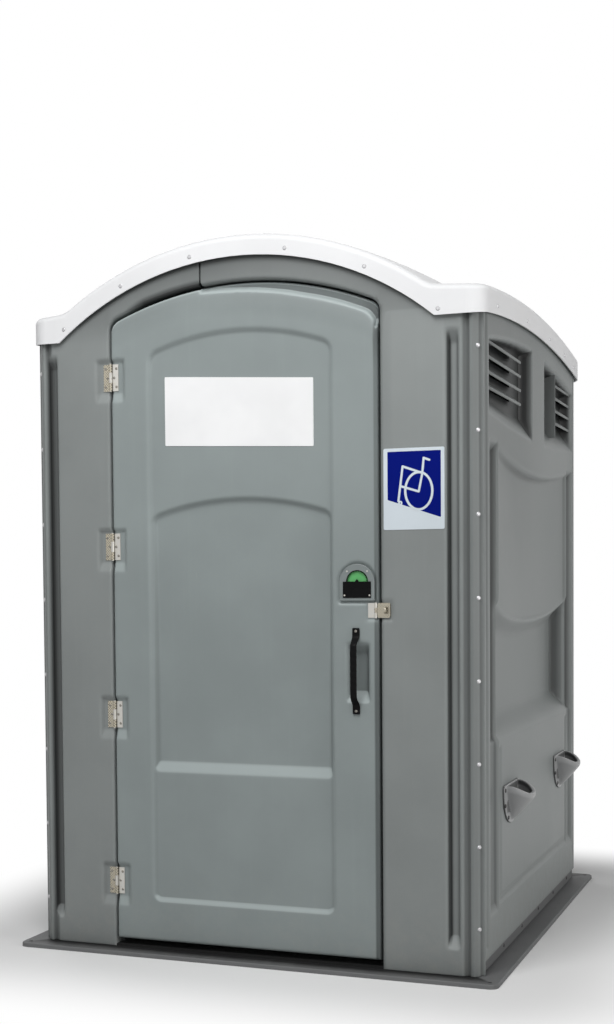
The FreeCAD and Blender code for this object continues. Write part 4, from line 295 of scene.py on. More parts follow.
def panel_painted_shading(x, z):
    """Painted shade on the header near its seam, under the eave and along the left part's lip,
    in the channels, at the corners and on the right jamb's edge, less a painted highlight high
    on the right jamb.
    """
    left = x < SEAM
    rise = z - doorway_top(x, 0.0)[0]
    near = eased(ramp(1 - np.abs(x - SEAM) / 0.34)) * np.where(left, 0.26, 0.30)
    eave = EAVE_CENTRE + dome(EAVE_RADIUS, x - ARCH_MIDDLE)
    # Painted shadow under the eave.
    under = ramp(1 - (eave - z) / 0.020) * (np.abs(x) < 0.60) * 0.5
    # Painted shade over the header, darkest near the seam.
    shade = np.where(rise > -0.04, near + under + 0.30, 0) * ramp(rise + 0.04, 0.10)
    # Painted shade along the header's lower edge, left of the seam.
    lip = np.clip(1.7 - rise / 0.016, 0, 1.4) * ramp(x + 0.44, 0.08) * left
    shade = np.maximum(shade, np.where(rise > -0.04, lip * 0.95, 0))
    shade = shade + 0.14 * ramp(rise + 0.10, 0.12)
    # Painted shade on the channels' left walls and on the left channel's floor.
    channel = ramp(z - 0.10, 0.02) * ramp(1.99 - z, 0.02)
    for low, floor in ((-0.726, 0.55), (0.657, 0.0)):
        wall = ramp(np.minimum((x - low + 0.001) / 0.002, (low + 0.011 - x) / 0.003))
        bed = np.minimum((x - low) / 0.003, (low + 0.034 - x) / 0.003) * floor
        shade = shade + channel * np.maximum(wall * 0.75, np.clip(bed, 0, floor))
    # Painted shade on the corner columns and on the right jamb's edge.
    shade = shade + 0.42 * ramp(np.abs(x) - 0.700, 0.01)
    jamb = ramp(1 - (x - DOORWAY[1] - 0.004) / 0.010) * (x > DOORWAY[1] - 0.01) * 0.35
    # Painted highlight high on the right jamb.
    bright = ramp(z - 1.30, 0.50) * (rise < 0.0) * ramp(x - 0.46, 0.03)
    return shade + jamb * (rise < 0.02) - bright * ramp(0.66 - x, 0.01) * 0.5


def vent_edges(y, z):
    """Distances of a place from the foot, the head and both ends of its vent pocket."""
    smile = 1.716 + 9.0 - dome(9.0, y)
    brow = 2.026 - 4.6 + dome(4.6, y)
    inner = np.maximum(-VENT_EDGES[0] - y, y - VENT_EDGES[1])
    return z - smile, brow - z, inner, 0.716 - np.abs(y)


def side_belly(y):
    """Rise of the curved edges of a side wall's fields over their middle."""
    return 3.7 - dome(3.7, y)


def side_depth(y, z):
    """Relief of a side wall: flared skirt, vents, middle field, long recess, grooves."""
    across, arc = np.abs(y), side_belly(y)
    foot, head, inner, outer = vent_edges(y, z)
    vent = ramp(np.minimum.reduce([foot / 0.072, head / 0.008, inner / 0.008, outer / 0.008]))
    skirt = np.where(z < 0.183, -0.012 * ramp(0.183 - z, 0.127), 0)
    depth = np.maximum(skirt, 0.048 * vent)
    lower = np.minimum(z - 0.196, 0.588 - across)
    line = ramp(lower, 0.006) * ramp(0.034 - lower, 0.022)
    depth = np.maximum(depth, np.where(z < 0.70, 0.006 * line, 0))
    seam = ramp(np.minimum(across - 0.742, 0.764 - across), 0.004)
    depth = np.maximum(depth, np.where(z > 0.09, 0.006 * seam, 0))
    belly = np.minimum.reduce([(z - 1.085 - arc) / 0.006, (1.600 + arc - z) / 0.014,
                               (SIDE_FIELD_HALF - across) / 0.008])
    dish = 0.009 + 0.024 * ramp(1 - (y / SIDE_FIELD_HALF) ** 2)
    shelf = np.minimum.reduce([(z - 0.715) / 0.085, (1.125 + arc - z) / 0.095,
                               (0.604 - across) / 0.028])
    return np.maximum.reduce([depth, dish * ramp(belly), 0.066 * eased(ramp(shelf)),
                              tubs(across, z, SIDE_GROOVES)])


def side_painted_shading(y, z):
    """Painted shade in the vent pockets and at their ends, at the long recess's ends, in the
    upright grooves and over the wall's upper front, less a painted highlight along the middle
    field's lower edge and painted light low down towards the rear.
    """
    across = np.abs(y)
    foot, head, inner, outer = vent_edges(y, z)
    pocket = np.minimum.reduce([foot / 0.060 - 0.35, head / 0.004, (inner + 0.003) / 0.004,
                                (outer + 0.002) / 0.004])
    end = np.minimum.reduce([(inner + 0.004) / 0.003, (0.017 - inner) / 0.005, foot / 0.02,
                             head / 0.004])
    groove = tub(across, z, (0.603, 0.708), (0.18, 1.66), 1.0, 0.004, 0.02, 0.02)
    recess = np.minimum((z - 0.76) / 0.05, (1.13 - z) / 0.03)
    rim = ramp(1 - np.abs(z - 1.090 - side_belly(y)) / 0.005) * (across < 0.584)
    # Painted light low down towards the rear.
    foot_light = ramp(0.75 - z, 0.20) * ramp(y + 0.30, 0.50) * 0.35
    shade = np.maximum.reduce([
        ramp(pocket) * 1.3,
        ramp(end) * np.where(y < 0, 1.25, 0.9),
        groove * (0.45 + 0.10 * ramp(z - 0.74, 0.01)),
        ramp(recess) * ramp(across - 0.566, 0.014) * (across < 0.605) * 0.30,
        ramp(z - 0.95, 0.50) * ramp(0.30 - y, 0.50) * 0.26])
    # Painted shade, less a painted highlight along the middle field's lower edge and the
    # painted light low down.
    return shade - rim * 0.5 - foot_light


# ---------------------------------------------------------------- moulded sheets

def blurred(field, sigma):
    reach = int(sigma * 3) + 1
    kernel = np.exp(-0.5 * (np.arange(-reach, reach + 1) / sigma) ** 2)
    kernel /= kernel.sum()
    for axis in (0, 1):
        pad = [(reach, reach) if a == axis else (0, 0) for a in (0, 1)]
        wide = np.pad(field, pad, mode="edge")
        count = field.shape[axis]
        field = sum(k * wide.take(range(i, i + count), axis=axis)
                    for i, k in enumerate(kernel))
    return field


class Relief:
    """Depth of a moulded face, softened like vacuum-formed sheet, with the shade and highlight
    painted on it.
    """

    step = 0.0025
    hollow = 0.007

    def __init__(self, u_range, v_range, depth, soft, added_painted_shading=None):
        self.low = u_range[0], v_range[0]
        step = self.step
        u, v = np.meshgrid(*(np.arange(low, high + step, step) for low, high in
                             (u_range, v_range)), indexing="ij")
        sharp = depth(u, v)
        self.field = blurred(sharp, soft / step)
        # Painted shade in hollows and on the upright walls of recesses, painted highlight on
        # ridges, plus any added painted shade or light.
        sunken = np.clip((self.field - blurred(sharp, self.hollow / step)) / 0.008, -1, 1)
        steep = ramp(np.abs(np.gradient(self.field, step, axis=0)), 3)
        self.shade = sunken + 0.35 * steep + (added_painted_shading(u, v) if added_painted_shading else 0)

    def cavity(self, u, v):
        """How far a spot lies below (above zero) or above its surroundings."""
        # Painted shading at a spot: painted shade above zero, where it lies below its
        # surroundings or on a steep wall; painted highlight below zero, where it lies above
        # them; plus the added painted shade and light.
        return self(u, v, self.shade)

    def __call__(self, u, v, field=None):
        f = self.field if field is None else field
        a, b = (np.clip((place - low) / self.step, 0, size - 1.001)
                for place, low, size in zip((u, v), self.low, f.shape))
        i, j = a.astype(int), b.astype(int)
        a, b = a - i, b - j
        return ((1 - a) * (1 - b) * f[i, j] + a * (1 - b) * f[i + 1, j]
                + (1 - a) * b * f[i, j + 1] + a * b * f[i + 1, j + 1])


class Wall:
    """An upright face that may turn round a corner at each end of its flat part."""

    def __init__(self, origin, along, out, flat=9.0, corner=()):
        self.origin, self.along, self.out = (np.array(x, float) for x in (origin, along, out))
        self.flat, self.corner = flat, corner

    def bend(self, distance):
        """Run along, run inwards and turning angle after a distance past the flat part."""
        run, sink, angle, left = 0.0, 0.0, 0.0, distance
        for extent, turn in self.corner:
            part = min(left, extent)
            if turn:
                radius = extent / turn
                new = angle + part / radius
                run += radius * (sin(new) - sin(angle))
                sink += radius * (cos(angle) - cos(new))
                angle = new
            else:
                run += part * cos(angle)
                sink += part * sin(angle)
            left -= part
            if left <= 0:
                return run, sink, angle
        return run + left * cos(angle), sink + left * sin(angle), angle

    def points(self, u, v, depth):
        run = np.clip(u, -self.flat, self.flat)
        sink, angle = np.zeros_like(u), np.zeros_like(u)
        for spot in zip(*np.nonzero(np.abs(u) > self.flat)):
            sign = math.copysign(1, u[spot])
            past, sink[spot], turned = self.bend(abs(u[spot]) - self.flat)
            run[spot] += past * sign
            angle[spot] = turned * sign
        run, sink, angle, depth = (field[..., None] for field in (run, sink, angle, depth))
        normal = self.out * np.cos(angle) + self.along * np.sin(angle)
        place = self.origin + self.along * run - self.out * sink - normal * depth
        place[..., 2] += v
        return place


def edge_steps(radius, back, marks=()):
    """Outward steps and depths of a rounded edge that then runs straight back."""
    turns = [pi / 8 * k for k in range(1, 5)]
    steps = [(radius * sin(t), radius * (1 - cos(t))) for t in turns]
    steps += [(radius, mark) for mark in marks]
    return steps + ([(radius, back)] if back > radius else [])


class Skin:
    """Collects the patches of one moulded sheet and joins them to one mesh."""

    def __init__(self, wall, relief):
        self.wall, self.relief = wall, relief
        self.points, self.faces, self.shades, self.count = [], [], [], 0

    def patch(self, core, left=None, right=None, foot=None, head=None, foot_way=None,
              head_way=None, skip=None):
        """Adds a patch; left, right, foot and head are (radius, back) of rounded edges."""
        core = np.array(core)
        core = np.stack([*core, self.relief(*core)])
        ends = []
        for edge, way, at in ((foot, foot_way, 0), (head, head_way, -1)):
            if way is None:
                way = np.tile([0.0, 1.0 if at else -1.0], (core.shape[1], 1))
            ends.append([core[:, :, at] + np.stack([*(step * way.T), np.full(len(way), drop)])
                         for step, drop in (edge_steps(*edge) if edge else ())])
        low, high = ends[0][::-1], ends[1]
        grid = np.stack(low + list(np.moveaxis(core, 2, 0)) + high, axis=2)
        for edge, sign, at in ((left, -1, 0), (right, 1, -1)):
            if edge:
                rows = self.side_rows(grid[:, at], edge, sign, len(low), len(high))
                parts = [rows[:, ::-1], grid] if sign < 0 else [grid, rows]
                grid = np.concatenate(parts, axis=1)
        shape = grid.shape[1:]
        index = self.count + np.arange(grid[0].size).reshape(shape)
        quads = np.stack([index[:-1, :-1], index[1:, :-1], index[1:, 1:], index[:-1, 1:]],
                         axis=-1).reshape(-1, 4)
        if skip is not None:
            middle = (grid[:, :-1, :-1] + grid[:, 1:, 1:]) / 2
            quads = quads[~skip(*middle).ravel()]
        self.points.append(self.wall.points(*grid).reshape(-1, 3))
        self.faces.append(quads)
        self.shades.append(self.relief.cavity(*grid[:2]).ravel())
        self.count += grid[0].size

    def side_rows(self, border, edge, sign, low, high):
        """Rows of a rounded side edge, from the border's along, up and depth values."""
        core = border[2, low:border.shape[1] - high]
        inner = np.pad(core, (low, high), mode="edge")
        turned = np.abs(border[0] - border[0, low]) > 1e-5
        rows = [(border[0] + np.where(turned, 0, step * sign), border[1],
                 np.maximum(border[2], inner + drop)) for step, drop in edge_steps(*edge)]
        return np.stack(rows, axis=1)

    def build(self, name, key, body, slot, node):
        """Welds the patches and puts the piece in place of its CAD node."""
        data = bpy.data.meshes.new(name)
        data.from_pydata(np.concatenate(self.points).tolist(), [],
                         np.concatenate(self.faces).tolist())
        # Painted shade and highlight of each vertex, for the material to darken or lighten its
        # colour.
        shade = data.attributes.new("cavity", "FLOAT", "POINT")
        shade.data.foreach_set("value", np.concatenate(self.shades))
        form = bmesh.new()
        form.from_mesh(data)
        bmesh.ops.remove_doubles(form, verts=form.verts, dist=2e-5)
        bmesh.ops.dissolve_degenerate(form, edges=form.edges, dist=1e-6)
        loose = [v for v in form.verts if not v.link_faces]
        bmesh.ops.delete(form, geom=loose, context="VERTS")
        form.to_mesh(data)
        form.free()
        place_piece(name, data, key, body, node)


# ---------------------------------------------------------------- pieces from forms

def link(thing):
    bpy.context.scene.collection.objects.link(thing)
    return thing


def place_piece(name, data, key, body, node=None, smooth=None):
    """Links a mesh as a piece that rides on a body."""
    piece = link(bpy.data.objects.new(name, data))
    data.materials.append(finish(key))
    data.polygons.foreach_set("use_smooth", [True] * len(data.polygons))
    if smooth is not None:
        data.set_sharp_from_angle(angle=math.radians(smooth))
    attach(piece, body)
    if node:
        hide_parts(node)


def loft(form, rings, caps=True):
    """Walls between rings of vertices, closed at both ends if asked."""
    for a, b in zip(rings, rings[1:]):
        for k in range(len(a)):
            m = (k + 1) % len(a)
            form.faces.new((a[k], a[m], b[m], b[k]))
    if caps:
        form.faces.new(rings[0][::-1])
        form.faces.new(rings[-1])


def mesh_of(form, name):
    """Ends a closed form as mesh data whose faces all look outwards."""
    bmesh.ops.recalc_face_normals(form, faces=form.faces)
    data = bpy.data.meshes.new(name)
    form.to_mesh(data)
    form.free()
    return data


class Print:
    """Thin upright layers drawn in millimetres in a plane that faces the front."""

    def __init__(self, origin):
        self.form, self.origin = bmesh.new(), Vector(origin)

    def spot(self, x, z, rise):
        """A vertex at a place of the drawing, raised in metres."""
        return self.form.verts.new(self.origin + Vector((x / 1000, -rise, z / 1000)))

    def layer(self, outline, height, under=0.0):
        """A closed slab from an outline in millimetres, with a fine bevelled edge."""
        centre = [sum(p[k] for p in outline) / len(outline) for k in (0, 1)]
        edge = min(0.25, height * 500)
        rings = []
        for inset, rise in ((0.0, under), (0.0, height * 0.6), (edge, height)):
            ring = []
            for x, z in outline:
                x, z = x - centre[0], z - centre[1]
                reach = math.hypot(x, z)
                pull = 1 - inset / reach if reach else 1
                ring.append(self.spot(centre[0] + x * pull, centre[1] + z * pull, rise))
            rings.append(ring)
        loft(self.form, rings)

    def stroke(self, start, end, width, height, under):
        """A bar with round ends between two points."""
        turn = math.atan2(end[1] - start[1], end[0] - start[0])
        angles = [(point, turn + pi * (begin + k / 6))
                  for point, begin in ((end, -0.5), (start, 0.5)) for k in range(7)]
        self.layer([(point[0] + width / 2 * cos(a), point[1] + width / 2 * sin(a))
                    for point, a in angles], height, under)

    def ring(self, centre, radii, width, height, under, count=48):
        """A flat ring whose middle line is an ellipse."""
        half = width / 2
        section = ((half, under), (half, height), (-half, height), (-half, under))
        spots = []
        for k in range(count):
            a = 2 * pi * k / count
            spots.append([self.spot(centre[0] + (radii[0] + grow) * cos(a),
                                    centre[1] + (radii[1] + grow) * sin(a), rise)
                          for grow, rise in section])
        loft(self.form, spots + spots[:1], caps=False)

    def build(self, name, key, body, slot):
        place_piece(name, mesh_of(self.form, name), key, body, smooth=30)


def rounded_outline(corners, radius, count=5):
    """An outline whose corners are arcs of one radius."""
    outline = []
    for k, corner in enumerate(corners):
        here = Vector(corner)
        before, after = (Vector(corners[j % len(corners)]) - here for j in (k - 1, k + 1))
        half = before.angle(after) / 2
        ways = before.normalized(), after.normalized()
        middle = here + (ways[0] + ways[1]).normalized() * radius / sin(half)
        legs = [here + way * radius / math.tan(half) - middle for way in ways]
        outline += [tuple(middle + legs[0].lerp(legs[1], j / count).normalized() * radius)
                    for j in range(count + 1)]
    return outline


# ---------------------------------------------------------------- shader nodes

class Nodes:
    """Short way to add and wire the nodes of one tree."""

    def __init__(self, tree):
        self.tree = tree

    def add(self, kind, **settings):
        """A new node; settings are its own properties, or else its inputs."""
        made = self.tree.nodes.new("ShaderNode" + kind)
        for key in [key for key in settings if hasattr(made, key)]:
            setattr(made, key, settings.pop(key))
        return self.wire(made, **settings)

    def wire(self, made, **values):
        """Links or sets inputs, named by their place (i0, i1) or by their label."""
        for key, value in values.items():
            numbered = key[0] == "i" and key[1:].isdigit()
            socket = made.inputs[int(key[1:]) if numbered else key.replace("_", " ")]
            if isinstance(value, bpy.types.NodeSocket):
                self.tree.links.new(value, socket)
            else:
                socket.default_value = value
        return made

    def math(self, operation, a, b=0.0, c=0.0):
        return self.add("Math", operation=operation, i0=a, i1=b, i2=c).outputs[0]

    def mix(self, share, a, b):
        a, b = (item + (1.0,) if isinstance(item, tuple) else item for item in (a, b))
        return self.add("Mix", data_type="RGBA", i0=share, i6=a, i7=b).outputs[2]

    def tint(self, base, *steps):
        """A colour mixed with others, each by a mask times a share."""
        for mask, share, colour in steps:
            base = self.mix(self.math("MULTIPLY", mask, share), base, colour)
        return base

    def span(self, value, low, high, to_low=0.0, to_high=1.0, kind="SMOOTHSTEP"):
        return self.add("MapRange", interpolation_type=kind, i0=value, i1=low, i2=high,
                        i3=to_low, i4=to_high).outputs[0]

    def noise(self, vector, scale, detail=3.0, roughness=0.55):
        return self.add("TexNoise", Vector=vector, Scale=scale, Detail=detail,
                        Roughness=roughness).outputs[0]

    def stretched(self, vector, factors):
        return self.add("Mapping", Vector=vector, Scale=factors).outputs[0]

    def axes(self, vector):
        return self.add("SeparateXYZ", i0=vector).outputs

    def place(self):
        return self.add("TexCoord").outputs["Object"]

    def slope(self):
        """How far the surface looks up, from its true normal."""
        return self.axes(self.add("NewGeometry").outputs["Normal"])["Z"]

    def seen(self):
        """One for rays that come straight, mirrored or refracted from the camera."""
        path = self.add("LightPath").outputs
        seen = self.math("MAXIMUM", path["Is Camera Ray"], path["Is Glossy Ray"])
        return self.math("MAXIMUM", seen, path["Is Transmission Ray"])


def shader_group(name, inputs, outputs):
    """A shader node group, its nodes, its object place, its inputs and its output node."""
    group = bpy.data.node_groups.new(name, "ShaderNodeTree")
    for label in (*inputs, *outputs):
        socket = group.interface.new_socket(
            label, in_out="INPUT" if label in inputs else "OUTPUT",
            socket_type="NodeSocketFloat")
        if label in inputs:
            socket.default_value = inputs[label]
    n = Nodes(group)
    asked = group.nodes.new("NodeGroupInput").outputs
    return group, n, n.place(), asked, group.nodes.new("NodeGroupOutput")


def grain_group():
    """Fine pebble of textured sheet plastic, as a height and a fleck mask."""
    group, n, place, asked, out = shader_group(
        "Moulded Grain", {"Pebble Scale": 900.0, "Waviness": 0.3}, ("Height", "Flecks"))
    fine = n.add("TexVoronoi", feature="SMOOTH_F1", Vector=place, Scale=asked["Pebble Scale"])
    cells = n.math("MULTIPLY", fine.outputs["Distance"], 0.6)
    slow = n.math("MULTIPLY", n.noise(place, 9.0, 2.0), asked["Waviness"])
    n.wire(out, Height=n.math("ADD", cells, slow),
           Flecks=n.span(n.noise(place, 420.0, 2.0), 0.58, 0.72))
    return group


def weathering_group():
    """Dust near the ground, faint runs down the walls, broad clouds and scuffs."""
    group, n, place, asked, out = shader_group(
        "Weathering", {"Dust Height": 0.35}, ("Dust", "Runs", "Clouds", "Scuffs"))
    low = n.span(n.axes(place)["Z"], asked["Dust Height"], 0.02)
    speckle = n.span(n.noise(place, 26.0, 6.0, 0.7), 0.35, 0.75)
    lines = n.noise(n.stretched(place, (34.0, 34.0, 1.1)), 1.0, 4.0, 0.6)
    marks = n.noise(n.stretched(place, (90.0, 90.0, 14.0)), 1.0, 5.0, 0.75)
    patches = n.span(n.noise(place, 5.0, 2.0), 0.52, 0.70)
    n.wire(out, Dust=n.math("MULTIPLY", low, speckle), Runs=n.span(lines, 0.50, 0.78),
           Clouds=n.span(n.noise(place, 2.6, 4.0), 0.30, 0.72),
           Scuffs=n.math("MULTIPLY", n.span(marks, 0.66, 0.74), patches))
    return group


def metal_group():
    """Fine lines of drawn or plated metal with a few dull spots."""
    group, n, place, asked, out = shader_group(
        "Plated Metal", {"Line Scale": 60.0}, ("Height", "Lines", "Spots"))
    lines = n.noise(n.stretched(place, (30.0, 30.0, 2.0)), asked["Line Scale"], 4.0, 0.6)
    n.wire(out, Lines=lines, Height=n.math("MULTIPLY", lines, 0.5),
           Spots=n.span(n.noise(place, 160.0, 4.0, 0.65), 0.50, 0.72))
    return group


GROUPS = {}


# ---------------------------------------------------------------- finishes

def lit(colour, factor):
    return tuple(min(1.0, c * factor) for c in colour)


class Finish(Nodes):
    """The nodes of one new material round its surface shader."""

    def __init__(self, name):
        self.material = bpy.data.materials.new(name)
        self.material.use_nodes = True
        super().__init__(self.material.node_tree)
        self.tree.nodes.clear()
        self.surface = self.add("BsdfPrincipled")
        self.output = self.add("OutputMaterial", Surface=self.surface.outputs[0])

    def shared(self, maker, **values):
        """Outputs of a shader group, which is made the first time it is asked for."""
        if maker not in GROUPS:
            GROUPS[maker] = maker()
        return self.add("Group", node_tree=GROUPS[maker], **values).outputs

    def sheet(self, pebble=900.0, dust=0.35):
        """Outputs of the grain and of the weathering."""
        return (self.shared(grain_group, Pebble_Scale=pebble),
                self.shared(weathering_group, Dust_Height=dust))

    def done(self, colour, rough, rougher, bump, **more):
        """Wires the surface; bump is its height, strength and distance."""
        for mask, share in rougher:
            rough = self.math("MULTIPLY_ADD", mask, share, rough)
        dent = self.add("Bump", Height=bump[0], Strength=bump[1], Distance=bump[2])
        self.wire(self.surface, Base_Color=colour, Roughness=rough,
                  Normal=dent.outputs[0], **more)
        return self.material


def moulded_plastic(name, colour, ledge, rough=0.5, grain=0.25, dust=0.35):
    """Textured sheet plastic with clouding, runs, dust and scuffs, with painted shade in
    hollows, painted highlight on ridges and a painted highlight on faces that look up.
    """
    n = Finish(name)
    texture, worn = n.sheet(850.0, dust)
    dusty = tuple(0.6 * c + 0.4 * d for c, d in zip(colour, (0.42, 0.40, 0.36)))
    base = n.mix(worn["Clouds"], lit(colour, 0.94), lit(colour, 1.06))
    base = n.tint(base, (worn["Runs"], 0.05, lit(colour, 1.5)),
                  (texture["Flecks"], 0.10, lit(colour, 0.6)),
                  (worn["Scuffs"], 0.22, lit(colour, 1.7)), (worn["Dust"], 0.35, dusty))
    # Painted shade where the vertex attribute is above zero, painted highlight where it is
    # below zero, and a painted highlight on faces that look up, by the share ledge.
    cavity = n.add("Attribute", attribute_name="cavity").outputs["Fac"]
    for mask, factor in ((n.span(cavity, 0.04, 1.0, 0.0, 0.86, "LINEAR"), 0.2),
                         (n.span(cavity, 1.0, 1.6, 0.0, 0.9), 0.04),
                         (n.span(cavity, -0.08, -0.8, 0.0, 0.35), 1.5),
                         (n.span(n.slope(), 0.12, 0.36, 0.0, ledge), 1.9)):
        base = n.mix(mask, base, lit(colour, factor))
    rougher = (worn["Clouds"], 0.08), (worn["Dust"], 0.2), (texture["Flecks"], 0.08)
    return n.done(base, rough - 0.04, rougher, (texture["Height"], grain, 0.0006),
                  Specular_IOR_Level=0.3)


def ground_plastic(name, colour):
    """Sheet of the ground pan, with painted shadow at the foot of the walls, a painted
    highlight along its edge and painted light on its left and right sides.
    """
    n = Finish(name)
    texture, worn = n.sheet()
    place = n.place()
    out_x, out_y = (n.math("SUBTRACT", n.math("ABSOLUTE", n.axes(place)[axis]), half)
                    for axis, half in (("X", 0.748), ("Y", 0.803)))
    out = n.math("MAXIMUM", out_x, out_y)
    wavy = n.math("MULTIPLY_ADD", n.noise(place, 40.0, 4.0), 0.014, out)
    base = n.mix(worn["Clouds"], lit(colour, 0.9), lit(colour, 1.1))
    # Real dust, then painted shadow in a wavy band at the foot of the walls.
    base = n.tint(base, (worn["Dust"], 0.1, (0.3, 0.29, 0.27)),
                  (n.span(wavy, 0.030, 0.070, 0.92, 0.0), n.span(out, -0.05, -0.01),
                   lit(colour, 0.06)))
    # Painted highlight along the pan's outer edge.
    base = n.mix(n.span(out, 0.066, 0.0765, 0.0, 0.8), base, lit(colour, 1.9))
    # Painted light on the pan's left and right sides.
    beside = n.span(n.math("SUBTRACT", out_x, out_y), -0.01, 0.01)
    base = n.mix(beside, base, lit(colour, 1.35))
    return n.done(base, 0.55, ((worn["Clouds"], 0.1),), (texture["Height"], 0.4, 0.0006),
                  Specular_IOR_Level=0.2)


def roof_plastic(name, colour):
    """Thin pale sheet, a little darker where it looks up, as painted shade."""
    n = Finish(name)
    texture, worn = n.sheet(700.0, 0.1)
    base = n.mix(worn["Clouds"], lit(colour, 0.97), lit(colour, 1.02))
    base = n.tint(base, (worn["Runs"], 0.10, lit(colour, 0.9)),
                  (worn["Scuffs"], 0.25, lit(colour, 0.82)))
    # Painted shade on faces that look up.
    base = n.mix(n.span(n.slope(), 0.25, 0.85, 0.0, 0.9), base, lit(colour, 0.78))
    return n.done(base, 0.5, ((worn["Clouds"], 0.10),), (texture["Height"], 0.18, 0.0005),
                  Specular_IOR_Level=0.1)


def gloss_plastic(name, colour, rough, level=0.5, wave=0.12):
    """Smooth injection-moulded plastic with faint flow marks and handling dulling."""
    n = Finish(name)
    texture, worn = n.sheet(1600.0, 0.05)
    base = n.mix(worn["Clouds"], lit(colour, 0.9), lit(colour, 1.1))
    base = n.tint(base, (worn["Scuffs"], 0.3, tuple(c + 0.05 for c in colour)))
    return n.done(base, rough, ((worn["Clouds"], 0.10), (worn["Scuffs"], 0.2)),
                  (texture["Height"], wave, 0.0003), Specular_IOR_Level=level)


def plated_metal(name, colour, rough=0.34, stain=0.25, lines=60.0, pierced=0.0):
    """Zinc plate or drawn tube with fine lines, dull spots and, if asked, small holes."""
    n = Finish(name)
    texture = n.shared(metal_group, Line_Scale=lines)
    base = n.mix(texture["Lines"], lit(colour, 0.85), lit(colour, 1.1))
    base = n.tint(base, (texture["Spots"], stain, (0.60, 0.52, 0.36)))
    if pierced:
        axes = n.axes(n.place())
        waves = [n.math("SINE", n.math("MULTIPLY", axes[axis], 2 * pi / pierced))
                 for axis in "XZ"]
        holes = n.span(n.math("MULTIPLY", *waves), 0.30, 0.55, 0.0, 0.85)
        base = n.mix(holes, base, (0.03, 0.03, 0.028))
    return n.done(base, rough - 0.07, ((texture["Lines"], 0.14), (texture["Spots"], 0.15)),
                  (texture["Height"], 0.15, 0.0002), Metallic=1.0)


def printed_sheet(name, colour, rough=0.3):
    """Printed face of a stuck-on sign: flat colour with faint fading and wrinkles."""
    n = Finish(name)
    texture, worn = n.sheet(240.0, 0.05)
    base = n.mix(worn["Clouds"], lit(colour, 0.94), lit(colour, 1.04))
    base = n.tint(base, (worn["Scuffs"], 0.15, (0.6, 0.62, 0.64)))
    return n.done(base, rough, ((worn["Clouds"], 0.12),), (texture["Height"], 0.08, 0.0004),
                  Specular_IOR_Level=0.04)


# Maker, colour (one of the settings by name and how much it is lit, or its own), the rest.
FINISHES = {
    # The ledge values set the share of painted highlight on faces that look up.
    "wall_sheet": (moulded_plastic, ("wall", 1.0), {"ledge": 0.27}),
    "door_sheet": (moulded_plastic, ("door", 1.0), {"ledge": 0.5}),
    # Side walls and louvre blades: the wall colour painted darker, as painted shade.
    "side_sheet": (moulded_plastic, ("wall", 0.80), {"ledge": 0.06}),
    "louvre_sheet": (moulded_plastic, ("wall", 0.62), {"ledge": 0.2}),
    "base_sheet": (ground_plastic, ("base", 1.0), {}),
    "cup_plastic": (moulded_plastic, ("cup", 1.0), {"rough": 0.42, "grain": 0.3, "ledge": 0.1}),
    "tank_plastic": (moulded_plastic, ("tank", 1.0), {"rough": 0.4, "dust": 0.2, "ledge": 0.0}),
    "roof_sheet": (roof_plastic, ("roof", 1.0), {}),
    "strip_plastic": (moulded_plastic, ("wall", 0.4), {"rough": 0.6, "ledge": 0.0}),
    "black_plastic": (gloss_plastic, ("black", 1.0), {"rough": 0.24, "level": 0.05}),
    "bezel_plastic": (gloss_plastic, ("door", 0.82), {"rough": 0.3, "wave": 0.2}),
    "pipe_plastic": (gloss_plastic, ("wall", 0.6), {"rough": 0.35}),
    "gear_plastic": (gloss_plastic, (0.72, 0.70, 0.64), {"rough": 0.4}),
    "dial_plastic": (gloss_plastic, ("indicator", 1.0), {"rough": 0.35}),
    "zinc_plate": (plated_metal, ("zinc", 1.0), {}),
    "pierced_zinc": (plated_metal, (0.40, 0.37, 0.30),
                     {"rough": 0.42, "stain": 0.4, "pierced": 0.0088}),
    "rivet_alloy": (plated_metal, (0.42, 0.42, 0.43), {"rough": 0.5, "stain": 0.1}),
    "dull_rivet": (plated_metal, (0.06, 0.06, 0.062), {"rough": 0.55, "stain": 0.1}),
    "screw_zinc": (plated_metal, (0.22, 0.21, 0.19), {"rough": 0.42, "stain": 0.2}),
    "drawn_tube": (plated_metal, (0.62, 0.62, 0.63),
                   {"rough": 0.28, "stain": 0.05, "lines": 90.0}),
    "sign_dark_field": (printed_sheet, ("sign_blue", 1.0), {}),
    "sign_pale_print": (printed_sheet, ("sign_pale", 1.0), {}),
    "plate_white": (printed_sheet, (0.94, 0.945, 0.95), {"rough": 0.35}),
}
MATERIALS = {}


def finish(name):
    """A named finish of the cabin, made when it is first used."""
    if name not in MATERIALS:
        maker, colour, settings = FINISHES[name]
        if len(colour) == 2:
            colour = lit(getattr(bpy.context.scene.cabin_colours, colour[0]), colour[1])
        MATERIALS[name] = maker(name, colour, **settings)
    return MATERIALS[name]


def dress(key, bevel, *names):
    """Gives carried-over nodes a finish and softly rounded edges."""
    width = sizes().bevel if bevel is None else bevel
    for name in names:
        node = NODES[name]
        node.data.materials.clear()
        node.data.materials.append(finish(key))
        if width > 0:
            soft = node.modifiers.new("Soft edges", "BEVEL")
            soft.width, soft.segments = width, 2
            soft.limit_method, soft.angle_limit = "ANGLE", math.radians(38)
            soft.harden_normals = False


# ---------------------------------------------------------------- operators

class PieceOperator:
    """Shared settings of the cabin's operators."""

    bl_options = {"REGISTER", "UNDO"}


